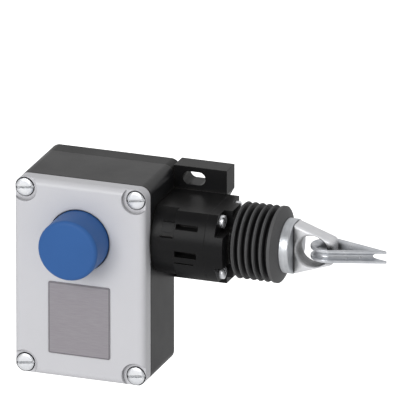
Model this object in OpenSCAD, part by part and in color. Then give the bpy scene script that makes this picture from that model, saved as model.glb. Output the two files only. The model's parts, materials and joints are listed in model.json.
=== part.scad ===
// Rope pull switch for conveyor guarding: a cast box with a reset button, a pull head with
// a bellows, and an eye that carries a rope thimble.
// Frame: +X runs out along the pull, +Y to the wall, +Z up. The origin is on the mounting
// face, straight behind the pull axis, at the middle of the box's width.

/* [Box] */
// Width of the box
box_w = 75; // [70:0.5:92]
// Height of the box
box_h = 112; // [104:0.5:136]
// Depth of the base from the mounting casting to the cover seam
base_depth = 36.4; // [34:0.1:46]
// Radius of the box's four long edges
corner_r = 5.6; // [4.6:0.1:5.8]
// Thickness of the cast walls
wall = 3.2; // [2.6:0.1:3.8]
// Thickness of the base's floor
floor_t = 3.5; // [3:0.1:4.5]
// Height of the pull axis above the middle of the box
axis_rise = 24.2; // [20:0.1:26]
// Bore of the cable entry's thread
entry_d = 18.4; // [15:0.1:23]
// Length of the cable entry's thread
entry_len = 9.2; // [8:0.1:12]

/* [Cover] */
// Thickness of the cover, seam to front face
cover_t = 10; // [9:0.1:13]
// Radius of the cover's front edge
cover_edge_r = 3.6; // [2:0.1:4.5]
// Thickness of the cover's front wall
cover_front_t = 3.2; // [2.5:0.1:4]
// Thickness of the seam gasket
gasket_t = 0.6; // [0.4:0.1:1]
// Distance of the cover screws from the box's sides
screw_inset = 5.7; // [5.6:0.1:6.4]
// Diameter of the cover screws' thread
cover_screw_d = 6; // [4:0.5:6]
// Diameter of the cover screws' heads
cover_head_d = 10; // [8:0.5:10.5]
// Height of the cover screws' heads
cover_head_h = 3.9; // [3:0.1:4]
// Depth of the cover screws' tops below the front face
cover_head_sink = 1.15; // [0.5:0.05:2]
// Radius of the corner recess round each cover screw
corner_recess_r = 7.6; // [6.5:0.1:8.5]
// Depth of the corner recess
corner_recess_t = 2.3; // [1:0.1:3]
// Width of the label plate
label_w = 35.3; // [28:0.1:44]
// Height of the label plate
label_h = 41; // [30:0.1:46]
// Distance of the label plate's middle below the middle of the box
label_drop = 21.7; // [19:0.1:24]

/* [Reset button] */
// Diameter of the button's cap
button_d = 34; // [28:0.5:36]
// Height of the cap above the cover at rest
button_proud = 18.8; // [14:0.1:24]
// Travel of the button
button_travel = 5; // [3:0.1:5.5]
// Radius of the cap's front edge
button_edge_r = 2.2; // [1:0.1:4]
// Diameter of the button's stem
stem_d = 10; // [8:0.1:11]

/* [Mounting ears] */
// Thickness of the ears
ear_t = 12.4; // [11:0.1:16]
// Step between the ears' back and the back of the plate behind the box
land_t = 1.6; // [0.8:0.1:2]
// Reach of the ears past the box's side
ear_reach = 30.2; // [28:0.1:36]
// Width of the ear slots
slot_w = 7.4; // [6.5:0.1:8.5]
// Length of the ear slots
slot_l = 13; // [10:0.1:15]
// Distance of the ear slots' middle from the box's side
slot_out = 11.5; // [10:0.1:14]
// Distance of all fixing holes below the top of the box
hole_down = 6; // [5.5:0.1:7]
// Diameter of the two fixing holes behind the box
fix_hole_d = 5.5; // [4.5:0.1:6.5]
// Distance of the fixing holes behind the box from its middle
fix_hole_out = 27; // [24:0.1:28]

/* [Pull head] */
// Radius of the head's round front
head_r = 26.3; // [25.5:0.1:30]
// Distance of the head's top and bottom flats from the pull axis
head_flat = 19.1; // [18.5:0.1:22]
// Distance of the pull axis in front of the mounting casting
axis_back = 15; // [15:0.1:18]
// Length of the ribbed part of the head
body_len = 31.8; // [30:0.1:38]
// Length of the head's end flange
flange_len = 10.5; // [10:0.1:14]
// Radius of the hollow that holds the spring
chamber_r = 13; // [12.6:0.1:13.2]
// Radius of the neck that carries the bellows
neck_r = 15.5; // [14:0.1:16.5]
// Diameter of the head screws' thread
head_screw_d = 4; // [3:0.5:4]
// Diameter of the head screws' heads
head_screw_head_d = 7; // [6:0.1:7.5]

/* [Bellows] */
// Outer radius of the bellows' ribs
bellows_r = 21; // [19.5:0.1:24]
// Radius at the bottom of the grooves
groove_r = 17; // [16.9:0.1:18]
// Number of ribs
rib_count = 5; // [4:1:8]
// Distance from rib to rib
rib_pitch = 4; // [3.6:0.1:5]
// Thickness of the rubber
rubber_t = 1.1; // [0.8:0.1:1.4]

/* [Pull rod and eye] */
// Diameter of the pull rod
rod_d = 10; // [9:0.1:10.6]
// Travel of the pull rod
pull_travel = 12; // [8:0.5:12]
// Radius of the end disc
disc_r = 15; // [12:0.1:16]
// Thickness of the end disc
disc_t = 5.5; // [4:0.1:7]
// Thickness of the eye, front to back
eye_t = 10.6; // [8:0.1:10.8]
// Length of the eye past the end disc
eye_len = 22.4; // [22:0.1:27]
// Half the height of the eye at the end disc
eye_root = 14; // [13:0.1:15]
// Half the height of the eye at its tip
eye_tip = 7.5; // [7:0.1:9]
// Radius of the eye's hole
eye_hole_r = 8.65; // [8.4:0.05:8.8]

/* [Rope thimble] */
// Radius of the thimble's crown over its rims
crown_r = 10.2; // [10:0.1:12]
// Depth of the thimble's section, rim to back
thimble_depth = 3.8; // [3:0.1:3.9]
// Height of the thimble's section over its rims
thimble_h = 7.4; // [6:0.1:7.6]
// Angle of each leg to the middle line
thimble_angle = 18; // [16:0.5:20]
// Radius of the rope groove
rope_r = 1.9; // [1.4:0.1:2.1]

/* [Hidden] */

$fn = 64;
fit = 0.05;
gap = 0.3;
skin = 0.02;

// Planes of the box and the casting
plate_front = -ear_t;
plate_back = -land_t;
axis_y = plate_front - axis_back;
floor_y = plate_front - floor_t;
seam_y = plate_front - base_depth;
cover_back = seam_y - gasket_t;
cover_front = seam_y - cover_t;
box_side = box_w / 2;
inner_side = box_side - wall;
box_mid = -axis_rise;
box_top = box_mid + box_h / 2;
box_bottom = box_mid - box_h / 2;
screw_x = box_side - screw_inset;
screw_z = box_h / 2 - screw_inset;
column_r = screw_inset - 0.1;

// Cover and button
cover_pocket_y = cover_front + cover_front_t;
cover_head_seat = cover_front + cover_head_sink + cover_head_h;
cover_screw_len = 17;
well_gap = 0.6;
well_r = button_d / 2 + well_gap;
well_floor = cover_front + button_travel + 1.5;
well_wall = 3;
cap_back = well_floor - button_travel - 0.7;
cap_front = cover_front - button_proud;
cap_wall = 2.5;
cap_inside = cap_front + 3.5;
cap_boss_r = stem_d / 2 + 2;
guide_r = stem_d / 2 + 3;
guide_back = well_floor + 9.3;
guide_flange_r = guide_r + 1.2;
guide_flange_t = 1;
stem_r = stem_d / 2;
stem_end_r = 3.4;
label_t = 0.8;
label_sink = 0.4;

// Ears and fixing holes
ear_end = box_side + ear_reach;
ear_over = 0.4;
ear_top = box_top + ear_over;
slot_x = box_side + slot_out;
fix_z = box_top - hole_down;
waist_x = ear_end - 6;
waist_z = fix_z - 7.2;
land_half = 8;
base_screw_r = 2;
base_screw_head_r = 4;
base_screw_out = 33;
base_screw_in = -11;
base_screw_z = box_top - 4.6;
base_screw_tip = floor_y - 2;

// Head along X
head_gasket_t = 0.8;
head_start = box_side + head_gasket_t;
body_end = box_side + body_len;
flange_end = body_end + flange_len;
neck_end = flange_end + 5.2;
spigot_r = 11.9;
spigot_start = inner_side + 0.2;
rod_r = rod_d / 2;
rear_bush_r = 8;
rear_bush_start = spigot_start;
chamber_start = head_start + 4;
spring_face = body_end + 4;
front_bush_r = 7.5;
bush_collar_r = 8.5;
bush_collar_t = 1.5;
wiper_t = 3;
screw_side = 14.5;
screw_back = 9.5;
head_screw_seat = flange_end - 4.8;
notch_half = 5.6;
head_screw_head_h = 2.6;
head_screw_r = head_screw_d / 2;
head_screw_hole_r = head_screw_r + 0.15;
head_screw_tip = inner_side - 4.5;
boss_len = 6.5;
boss_floor = 1.5;
core_r = head_r - 2.7;
pad_start = box_side + 6;
pad_low = -1.3;
pad_high = 5.4;
step_start = box_side + 7;
step_low = 8;
step_h = 5;
grip_start = box_side + 14;
// Grooves in the grip ribs, as [lower edge, upper edge, start past the ribs' start]
grip_grooves = [[10.4, 13.1, 1], [-4.9, -1.3, 1], [-9, -8.2, -1]];
grip_groove_len = 12.5;
grip_groove_depth = 8;

// Bellows along X
cuff_start = flange_end + 1.4;
first_rib = flange_end + 3.4;
bellows_collar = first_rib + rib_count * rib_pitch;
bellows_end = bellows_collar + 4.4;
hub_r = 7;
rib_half = 0.7;

// Rod, disc and eye along X
hub_start = bellows_end - 4;
disc_end = bellows_end + disc_t;
eye_end = disc_end + eye_len;
hole_x = disc_end + 10.3;
shank_r = 4;
shank_start = hub_start - 13;
tail_r = 4;
cam_len = 15;
block_w = 25;
plunger_set = 0.8;
cam_end = min(rear_bush_start - pull_travel - gap,
    box_side - wall - gap - block_w / 2 + plunger_set);
cam_start = cam_end - cam_len;
cam_big_r = 11;
cam_land = 2;
cam_angle = 15;
fork_t = 3;
tail_nut_t = 6;
tail_nut_end = -stem_end_r - 0.5 - pull_travel;
tail_start = tail_nut_end - tail_nut_t;
circlip_start = chamber_start + 0.7;
circlip_t = 1;
circlip_groove = 0.5;
seat_start = circlip_start + circlip_t;
seat_t = 2.5;
seat_end = seat_start + seat_t;
seat_r = chamber_r - 0.6;
tension_wire_r = 1.15;
tension_mean_r = chamber_r - 3;
tension_turns = 4;

// Thimble
crown_x = hole_x + 8.3;
back_r = thimble_h / 2;
crown_in_r = crown_r - thimble_depth;
leg_len = crown_r / tan(thimble_angle);

// Reset fork and its travel
fork_half = tail_r + 0.4;
fork_arm = 4;
fork_reach = 5.4;
fork_bridge_t = 3;
stem_end = axis_y - tail_r - button_travel - 0.8;
slot_end = stem_end - fork_bridge_t;
fork_pin_r = 0.9;
stem_step = guide_back + 2;
stem_clip_start = guide_back + 0.4;
stem_clip_end = stem_clip_start + circlip_t;
stem_clip_groove = 0.6;

// Contact block under the cam
plunger_x = cam_end - plunger_set;
plunger_r = 1.5;
cam_r_at_plunger = cam_big_r - (plunger_x - cam_start - cam_land) * tan(cam_angle);
tip_z = -cam_r_at_plunger - (plunger_r + 0.1) / cos(cam_angle);
plunger_travel = pull_travel * tan(cam_angle);
block_h = 42;
block_top = -20;
block_bottom = block_top - block_h;
block_front = axis_y - 16;
block_back = floor_y - 3.1;
chamber_half_x = 5.2;
chamber_half_y = 6.2;
chamber_top = block_top - 4;
chamber_bottom = block_bottom + 4;
carrier_top = chamber_top - 2.5;
carrier_h = 18.5;
carrier_bottom = carrier_top - carrier_h;
bridge_half = 10;
bridge_w = 4;
bridge_t = 1;
upper_bridge = carrier_top - 5;
lower_bridge = carrier_top - 13.5;
contact_x = 8;
strip_w = 4.4;
strip_t = 1;
contact_gap = 0.1;
terminal_front = block_front + 3;
block_screw_x = 9.2;
block_screw_r = 1.75;
block_screw_head_r = 2.6;
block_screw_head_h = 2;
block_screw_seat = block_back - 6;
terminal_w = 6.8;
terminal_below = 2.6;
terminal_screw_r = 2.9;
terminal_screw_h = 2.2;
terminal_screw_up = 0.6;
terminal_hole_r = 1.3;
upper_screw_z = block_top - 3.4;
lower_screw_z = block_bottom + 3.4;
carrier_spring_r = 3;
carrier_wire_r = 0.4;
reset_mean_r = 10;
reset_wire_r = 0.6;

// Earth terminal
earth_x = -24;
earth_z = box_bottom + 13;
earth_boss_h = 5;
earth_washer_t = 1;
earth_washer_r = 4.6;
earth_screw_r = 2;
earth_head_r = 3.6;
earth_head_h = 2.6;

// A rectangle with round corners, middle at the origin
module rounded(w, h, r) {
    square([w - 2 * r, h], center = true);
    square([w, h - 2 * r], center = true);
    for (x = [-1, 1], z = [-1, 1])
        translate([x * (w / 2 - r), z * (h / 2 - r)])
            circle(r);
}

// Extrudes an outline drawn in X and Z from one Y to another
module slab(front, back) {
    translate([0, back, 0])
        rotate([90, 0, 0])
            linear_extrude(back - front)
                children();
}

// Extrudes an outline drawn in Y and Z from one X to another
module bar(from, to) {
    translate([from, 0, 0])
        rotate([90, 0, 90])
            linear_extrude(to - from)
                children();
}

// A round post along Y
module post(x, z, r, front, back) {
    translate([x, back, z])
        rotate([90, 0, 0])
            cylinder(r = r, h = back - front);
}

// A round pin along X, placed from the pull axis
module pin(y, z, r, from, to) {
    translate([from, axis_y + y, z])
        rotate([0, 90, 0])
            cylinder(r = r, h = to - from);
}

// Turns a profile of [radius, X] points round the pull axis
module turned(points) {
    translate([0, axis_y, 0])
        rotate([0, 90, 0])
            rotate_extrude()
                polygon(points);
}

// A coil spring along Z, with flat stretches of wire at neither end
module coil(mean_r, wire_r, length, turns, steps, sides) {
    count = turns * steps;
    rise = (length - 2 * wire_r) / count;
    points = [for (i = [0 : count], k = [0 : sides - 1])
        let (a = 360 * i / steps, b = 360 * k / sides, r = mean_r + wire_r * cos(b))
        [r * cos(a), r * sin(a), wire_r + rise * i + wire_r * sin(b)]];
    walls = [for (i = [0 : count - 1], k = [0 : sides - 1])
        let (n = (k + 1) % sides)
        [i * sides + k, i * sides + n, (i + 1) * sides + n, (i + 1) * sides + k]];
    start = [[for (k = [0 : sides - 1]) sides - 1 - k]];
    end = [[for (k = [0 : sides - 1]) count * sides + k]];
    polyhedron(points, concat(walls, start, end));
}

// The four cover screw places
module at_cover_screws() {
    for (x = [-1, 1], z = [-1, 1])
        translate([x * screw_x, 0, box_mid + z * screw_z])
            children();
}

// The four head screw places, as [Y, Z] from the pull axis
head_screw_places = [for (y = [-screw_side, screw_back], z = [-screw_side, screw_side]) [y, z]];

// The base's and cover's outline, drawn in X and Z
module box_outline(inset) {
    translate([0, box_mid])
        rounded(box_w - 2 * inset, box_h - 2 * inset, corner_r - inset);
}

// The casting that carries everything: its outline in X and Z
module casting_outline(over) {
    intersection() {
        box_outline(0);
        translate([-box_side, -box_top])
            square([box_w, 2 * box_top]);
    }
    difference() {
        translate([0, -box_top - over])
            square([ear_end, 2 * (box_top + over)]);
        translate([-box_side, -box_top - 1])
            square([box_w, 2 * box_top + 2]);
    }
}

module base_housing() {
    color("#242528")
        difference() {
            union() {
                difference() {
                    slab(seam_y, plate_front)
                        box_outline(0);
                    slab(seam_y - 1, floor_y)
                        translate([0, box_mid])
                            rounded(box_w - 2 * wall, box_h - 2 * wall, 2);
                }
                at_cover_screws()
                    post(0, 0, column_r, seam_y, plate_front - 1);
                for (place = head_screw_places)
                    pin(place[0], place[1], head_screw_r + 2, inner_side - boss_len, inner_side + 1);
                translate([0, axis_y - 2, box_bottom])
                    cylinder(r = entry_d / 2 + 3.5, h = entry_len);
                for (x = [-1, 1], z = [upper_screw_z, lower_screw_z])
                    post(plunger_x + x * block_screw_x, z, 3, block_back, floor_y + 1);
                post(earth_x, earth_z, 5, floor_y - earth_boss_h, floor_y + 1);
                for (z = [-1, 1]) {
                    post(-fix_hole_out, z * fix_z, fix_hole_d / 2 + 2.5, floor_y - 3, floor_y + 1);
                    for (x = [base_screw_in, base_screw_out])
                        post(x, z * base_screw_z, base_screw_r + 2.4, floor_y - 3, floor_y + 1);
                }
            }
            at_cover_screws()
                post(0, 0, cover_screw_d / 2 + fit, seam_y - 1, seam_y + cover_screw_len);
            pin(0, 0, spigot_r + fit, inner_side - 8, box_side + 1);
            for (place = head_screw_places)
                pin(place[0], place[1], head_screw_r + fit, inner_side - boss_len + boss_floor, box_side + 1);
            translate([0, axis_y - 2, box_bottom - 1])
                cylinder(r = entry_d / 2, h = entry_len + 2);
            for (x = [-1, 1], z = [upper_screw_z, lower_screw_z])
                post(plunger_x + x * block_screw_x, z, block_screw_r + fit, block_back - 1, floor_y + 1.5);
            post(earth_x, earth_z, earth_screw_r + fit, floor_y - earth_boss_h - 1, floor_y + 1);
            for (z = [-1, 1])
                post(-fix_hole_out, z * fix_z, fix_hole_d / 2, floor_y - 4, plate_front + 1);
            for (x = [base_screw_in, base_screw_out], z = [-1, 1])
                post(x, z * base_screw_z, base_screw_r + fit, floor_y - 4, plate_front + 1);
        }
}

// The cover's front edge is rounded along both directions
module cover_form() {
    intersection() {
        slab(cover_front, cover_back)
            box_outline(0);
        translate([0, 0, box_bottom])
            linear_extrude(box_h)
                crowned(box_w, 0);
        translate([-box_side, 0, 0])
            rotate([90, 0, 90])
                linear_extrude(box_w)
                    rotate(90)
                        mirror([0, 1])
                            crowned(box_h, box_mid);
    }
}

// A strip as deep as the cover whose two front corners are round
module crowned(w, middle) {
    r = cover_edge_r;
    translate([middle, cover_front]) {
        translate([-w / 2, r])
            square([w, cover_back - cover_front - r]);
        translate([-w / 2 + r, 0])
            square([w - 2 * r, r + 1]);
        for (x = [-1, 1])
            translate([x * (w / 2 - r), r])
                circle(r);
    }
}

module cover() {
    color("#d3d3d7")
        difference() {
            union() {
                difference() {
                    cover_form();
                    slab(cover_pocket_y, cover_back + 1)
                        translate([0, box_mid])
                            rounded(box_w - 2 * wall, box_h - 2 * wall, 2);
                }
                at_cover_screws()
                    post(0, 0, column_r, cover_pocket_y - 0.5, cover_back);
                post(0, 0, well_r + well_wall, cover_front + 1, well_floor + well_wall);
            }
            at_cover_screws() {
                post(0, 0, corner_recess_r, cover_front - 1, cover_front + corner_recess_t);
                post(0, 0, cover_head_d / 2 + 0.5, cover_front - 1, cover_head_seat);
                post(0, 0, cover_screw_d / 2 + 0.25, cover_front, cover_back + 1);
            }
            post(0, 0, well_r, cover_front - 1, well_floor);
            post(0, 0, guide_flange_r + skin, well_floor - 1, well_floor + guide_flange_t);
            post(0, 0, guide_r + skin, well_floor - 1, guide_back);
            slab(cover_front - 1, cover_front + label_sink)
                translate([0, box_mid - label_drop])
                    rounded(label_w + 0.2, label_h + 0.2, 1.1);
        }
}

module cover_gasket() {
    color("#26272a")
        slab(cover_back, seam_y)
            difference() {
                union() {
                    difference() {
                        box_outline(0.5);
                        translate([0, box_mid])
                            rounded(box_w - 2 * wall, box_h - 2 * wall, 2);
                    }
                    for (x = [-1, 1], z = [-1, 1])
                        translate([x * screw_x, box_mid + z * screw_z])
                            circle(column_r - 0.5);
                }
                for (x = [-1, 1], z = [-1, 1])
                    translate([x * screw_x, box_mid + z * screw_z])
                        circle(cover_screw_d / 2 + 0.25);
            }
}

module cover_screws() {
    color("#c9cbce")
        at_cover_screws()
            difference() {
                union() {
                    post(0, 0, cover_head_d / 2, cover_head_seat - cover_head_h, cover_head_seat);
                    post(0, 0, cover_screw_d / 2, cover_head_seat - 1, seam_y + cover_screw_len - 1);
                }
                translate([-cover_head_d, cover_head_seat - cover_head_h - 1, -0.8])
                    cube([2 * cover_head_d, 2.8, 1.6]);
            }
}

module label_plate() {
    color("#969196")
        slab(cover_front + label_sink - label_t, cover_front + label_sink)
            translate([0, box_mid - label_drop])
                rounded(label_w, label_h, 1);
}

// The head's cross-section: round in front, flat above and below, square to the wall
module head_outline(r) {
    intersection() {
        union() {
            translate([axis_y, 0])
                circle(r);
            translate([axis_y, -r])
                square([axis_back, 2 * r]);
        }
        translate([axis_y - r, -head_flat])
            square([r + axis_back, 2 * head_flat]);
    }
}

// A raised pad on the head's round front, ahead of the grip ribs
module head_pad(r, from, low, high) {
    bar(from, grip_start + 1)
        intersection() {
            head_outline(r);
            translate([axis_y - head_r - 1, low])
                square([head_r, high - low]);
        }
}

module head_casting() {
    color("#202124")
        difference() {
            union() {
                slab(plate_front, plate_back)
                    casting_outline(ear_over);
                slab(plate_back - 1, 0) {
                    translate([box_side, -ear_top])
                        square([ear_reach, 2 * ear_top]);
                    translate([-box_side + 2, -land_half])
                        square([box_w, 2 * land_half]);
                    for (z = [-1, 1])
                        translate([-fix_hole_out, z * fix_z])
                            circle(5);
                }
                bar(head_start, body_end)
                    head_outline(core_r);
                bar(grip_start, body_end)
                    head_outline(head_r);
                head_pad(head_r, pad_start, pad_low, pad_high);
                head_pad(head_r - 1, step_start, step_low, step_low + step_h);
                pin(0, 0, spigot_r, spigot_start, head_start + 1);
            }
            for (groove = grip_grooves)
                translate([grip_start + groove[2], axis_y - head_r - 1, groove[0]])
                    cube([grip_groove_len, grip_groove_depth + 1, groove[1] - groove[0]]);
            for (z = [-1, 1])
                translate([slot_x, 0, z * fix_z])
                    slab(plate_front - 1, 1) {
                        square([slot_l - slot_w, slot_w], center = true);
                        for (x = [-1, 1])
                            translate([x * (slot_l - slot_w) / 2, 0])
                                circle(slot_w / 2);
                    }
            slab(plate_front - 0.5, 1)
                for (z = [-1, 1])
                    polygon([[ear_end + 1, z * waist_z], [ear_end, z * waist_z],
                        [waist_x, z * (waist_z - 11)], [waist_x, 0], [ear_end + 1, 0]]);
            for (z = [-1, 1]) {
                post(-fix_hole_out, z * fix_z, fix_hole_d / 2, plate_front - 1, 1);
                for (x = [base_screw_in, base_screw_out])
                    translate([x, 0, z * base_screw_z]) {
                        post(0, 0, base_screw_r + 0.2, plate_front - 1, 1);
                        translate([0, plate_back, 0])
                            rotate([90, 0, 0])
                                cylinder(r1 = base_screw_head_r + 0.1, r2 = base_screw_r + 0.1, h = 2);
                    }
            }
            pin(0, 0, chamber_r, chamber_start, body_end + 1);
            pin(0, 0, rear_bush_r + skin, spigot_start - 1, chamber_start + 1);
            for (place = head_screw_places)
                pin(place[0], place[1], head_screw_hole_r, head_start - 1, body_end + 1);
        }
}

module base_screws() {
    color("#c9cbce")
        for (x = [base_screw_in, base_screw_out], z = [-1, 1])
            translate([x, plate_back, z * base_screw_z])
                rotate([90, 0, 0])
                    difference() {
                        rotate_extrude()
                            polygon([[0, 0], [base_screw_head_r, 0], [base_screw_r, 2],
                                [base_screw_r, plate_back - base_screw_tip],
                                [0, plate_back - base_screw_tip]]);
                        translate([-base_screw_head_r, -0.5, -1])
                            cube([2 * base_screw_head_r, 1, 2]);
                    }
}

module head_gasket() {
    color("#2a2b2e")
        bar(box_side, head_start)
            difference() {
                head_foot(0.6);
                translate([axis_y, 0])
                    circle(spigot_r + fit);
                for (place = head_screw_places)
                    translate([axis_y + place[0], place[1]])
                        circle(head_screw_hole_r);
            }
}

// The head's foot, a little smaller all round
module head_foot(inset) {
    intersection() {
        head_outline(core_r - inset);
        translate([axis_y - core_r, -head_flat + inset])
            square([core_r + axis_back - 0.1, 2 * (head_flat - inset)]);
    }
}

module head_flange() {
    color("#202124")
        difference() {
            union() {
                bar(body_end, flange_end)
                    intersection() {
                        head_outline(head_r);
                        translate([axis_y - head_r, -head_flat])
                            square([head_r + axis_back - 0.2, 2 * head_flat]);
                    }
                pin(0, 0, neck_r, flange_end - 1, neck_end);
                pin(0, 0, neck_r + 2, flange_end - 1, flange_end + 1);
            }
            pin(0, 0, chamber_r, body_end - 1, spring_face);
            pin(0, 0, front_bush_r + skin, spring_face - 1, neck_end + 1);
            for (place = head_screw_places) {
                pin(place[0], place[1], head_screw_hole_r, body_end - 1, flange_end);
                corner_notch(place[0], place[1]);
            }
        }
}

// A square notch in a corner of the flange that leaves room for a screw head
module corner_notch(y, z) {
    reach = 2 * head_r;
    translate([head_screw_seat, axis_y + y + (y < 0 ? notch_half - reach : -notch_half),
        z + (z < 0 ? notch_half - reach : -notch_half)])
        cube([flange_len, reach, reach]);
}

module head_screws() {
    color("#c9cbce")
        for (place = head_screw_places)
            difference() {
                union() {
                    pin(place[0], place[1], head_screw_head_d / 2, head_screw_seat,
                        head_screw_seat + head_screw_head_h);
                    pin(place[0], place[1], head_screw_r, head_screw_tip, head_screw_seat + 1);
                }
                translate([head_screw_seat + head_screw_head_h - 1.2, axis_y + place[0], place[1]])
                    rotate([30, 0, 0])
                        translate([0, -head_screw_head_d, -0.6])
                            cube([3, 2 * head_screw_head_d, 1.2]);
            }
}

module rear_bush() {
    color("#b08d57")
        turned([[rod_r + fit, rear_bush_start], [rear_bush_r, rear_bush_start],
            [rear_bush_r, chamber_start], [rod_r + fit, chamber_start]]);
}

module front_bush() {
    color("#b08d57")
        turned([[rod_r + fit, spring_face - bush_collar_t], [bush_collar_r, spring_face - bush_collar_t],
            [bush_collar_r, spring_face], [front_bush_r, spring_face],
            [front_bush_r, neck_end - wiper_t], [rod_r + fit, neck_end - wiper_t]]);
}

module rod_wiper() {
    color("#26272a")
        turned([[rod_r + fit, neck_end - wiper_t], [front_bush_r, neck_end - wiper_t],
            [front_bush_r, neck_end - 0.4], [front_bush_r - 0.8, neck_end], [rod_r + fit, neck_end]]);
}

module bellows() {
    outer = concat(
        [[neck_r + 2, cuff_start], [neck_r + 2, first_rib - rib_half - 1]],
        [for (i = [0 : rib_count - 1]) let (x = first_rib + i * rib_pitch)
            each [[bellows_r - 0.3, x - rib_half], [bellows_r, x], [bellows_r - 0.3, x + rib_half],
                [groove_r, x + rib_pitch / 2]]],
        [[bellows_r - 0.3, bellows_collar - rib_half], [bellows_r, bellows_collar],
            [bellows_r, bellows_collar + 1.6], [disc_r, bellows_end], [hub_r + skin, bellows_end]]);
    inner = concat(
        [[hub_r + skin, bellows_end - 2.4], [disc_r - 1, bellows_end - 2.4],
            [bellows_r - 2, bellows_collar]],
        [for (k = [0 : rib_count - 1]) let (x = first_rib + (rib_count - 1 - k) * rib_pitch)
            each [[groove_r - rubber_t, x + rib_pitch / 2],
                [bellows_r - rubber_t - 0.6, x]]],
        [[neck_r + skin, first_rib - rib_half - 1], [neck_r + skin, cuff_start]]);
    color("#505154")
        turned(concat(outer, inner));
}

module tension_spring() {
    color("#a8acb0")
        translate([seat_end, axis_y, 0])
            rotate([0, 90, 0])
                coil(tension_mean_r, tension_wire_r, spring_face - seat_end, tension_turns, 20, 8);
}

module pull_rod() {
    color("#b9bcc0")
        difference() {
            turned([[0, tail_start], [tail_r, tail_start], [tail_r, cam_end], [rod_r, cam_end],
                [rod_r, circlip_start], [rod_r - circlip_groove, circlip_start],
                [rod_r - circlip_groove, circlip_start + circlip_t], [rod_r, circlip_start + circlip_t],
                [rod_r, hub_start], [0, hub_start]]);
            pin(0, 0, shank_r + fit, shank_start - 1, hub_start + 1);
        }
}

module spring_seat() {
    color("#b9bcc0")
        turned([[rod_r + fit, seat_start], [seat_r, seat_start], [seat_r, seat_end],
            [rod_r + fit, seat_end]]);
}

module rod_circlip() {
    color("#4a4c50")
        difference() {
            turned([[rod_r - circlip_groove + fit, circlip_start + skin], [rod_r + 1.6, circlip_start + skin],
                [rod_r + 1.6, circlip_start + circlip_t - skin],
                [rod_r - circlip_groove + fit, circlip_start + circlip_t - skin]]);
            translate([circlip_start - 1, axis_y - 1.5, 0])
                cube([3, 3, 10]);
        }
}

module switching_cam() {
    color("#d8d4c4")
        turned([[tail_r + fit, cam_start], [cam_big_r, cam_start], [cam_big_r, cam_start + cam_land],
            [cam_big_r - (cam_len - cam_land) * tan(cam_angle), cam_end], [tail_r + fit, cam_end]]);
}

module tail_nut() {
    color("#b9bcc0")
        difference() {
            translate([tail_start, axis_y, 0])
                rotate([0, 90, 0])
                    cylinder(r = 7.5, h = tail_nut_t, $fn = 6);
            pin(0, 0, tail_r + fit, tail_start - 1, tail_nut_end + 1);
        }
}

module end_disc() {
    color("#c9cbce")
        turned([[shank_r + fit, hub_start], [hub_r, hub_start], [hub_r, bellows_end],
            [disc_r - 0.4, bellows_end], [disc_r, bellows_end + 0.4], [disc_r, disc_end - 0.4],
            [disc_r - 0.4, disc_end], [shank_r + fit, disc_end]]);
}

// The eye's outline, drawn in X and Z, taken in by a margin
module eye_outline(inset) {
    r = 3.2;
    hull() {
        translate([disc_end, -eye_root + inset])
            square([1, 2 * (eye_root - inset)]);
        for (z = [-1, 1])
            translate([eye_end - r, z * (eye_tip - r)])
                circle(r - inset);
    }
}

module eyelet() {
    soft = 1.5;
    color("#c4c6c9")
        difference() {
            union() {
                hull() {
                    slab(axis_y - eye_t / 2, axis_y + eye_t / 2)
                        eye_outline(soft);
                    slab(axis_y - eye_t / 2 + soft * 0.3, axis_y + eye_t / 2 - soft * 0.3)
                        eye_outline(soft * 0.3);
                    slab(axis_y - eye_t / 2 + soft, axis_y + eye_t / 2 - soft)
                        eye_outline(0);
                }
                pin(0, 0, shank_r, shank_start, disc_end + 0.6);
            }
            post(hole_x, 0, eye_hole_r, axis_y - eye_t, axis_y + eye_t);
            for (side = [-1, 1])
                translate([hole_x, axis_y + side * (eye_t / 2 + 0.01), 0])
                    rotate([side * 90, 0, 0])
                        cylinder(r1 = eye_hole_r + 1, r2 = eye_hole_r, h = 1);
        }
}

// The thimble's section, drawn as [distance from the crown's axis, Z]
module thimble_section() {
    difference() {
        union() {
            translate([crown_in_r + back_r, 0])
                circle(back_r);
            translate([crown_in_r + back_r, -back_r])
                square([thimble_depth - back_r, thimble_h]);
        }
        translate([crown_r, -thimble_h])
            square([thimble_h, 2 * thimble_h]);
        translate([crown_r - 0.5, 0])
            circle(rope_r);
        translate([crown_r - 0.5, -rope_r])
            square([1, 2 * rope_r]);
    }
}

module rope_thimble() {
    color("#c9cbce")
        translate([crown_x, axis_y, 0]) {
            rotate([0, 0, 90 - thimble_angle])
                rotate_extrude(angle = 180 + 2 * thimble_angle)
                    thimble_section();
            for (side = [0, 1])
                mirror([0, side, 0])
                    intersection() {
                        rotate([0, 0, thimble_angle - 90])
                            rotate([90, 0, 180])
                                mirror([1, 0, 0])
                                    linear_extrude(leg_len + 3)
                                        thimble_section();
                        translate([0, -2 * crown_r, -thimble_h])
                            cube([5 * crown_r, 2 * crown_r, 2 * thimble_h]);
                    }
        }
}

module stem_guide() {
    color("#b08d57")
        rotate([90, 0, 0])
            rotate_extrude()
                polygon([[stem_r + fit, -guide_back], [guide_r, -guide_back],
                    [guide_r, -well_floor - guide_flange_t], [guide_flange_r, -well_floor - guide_flange_t],
                    [guide_flange_r, -well_floor], [stem_r + fit, -well_floor]]);
}

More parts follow.
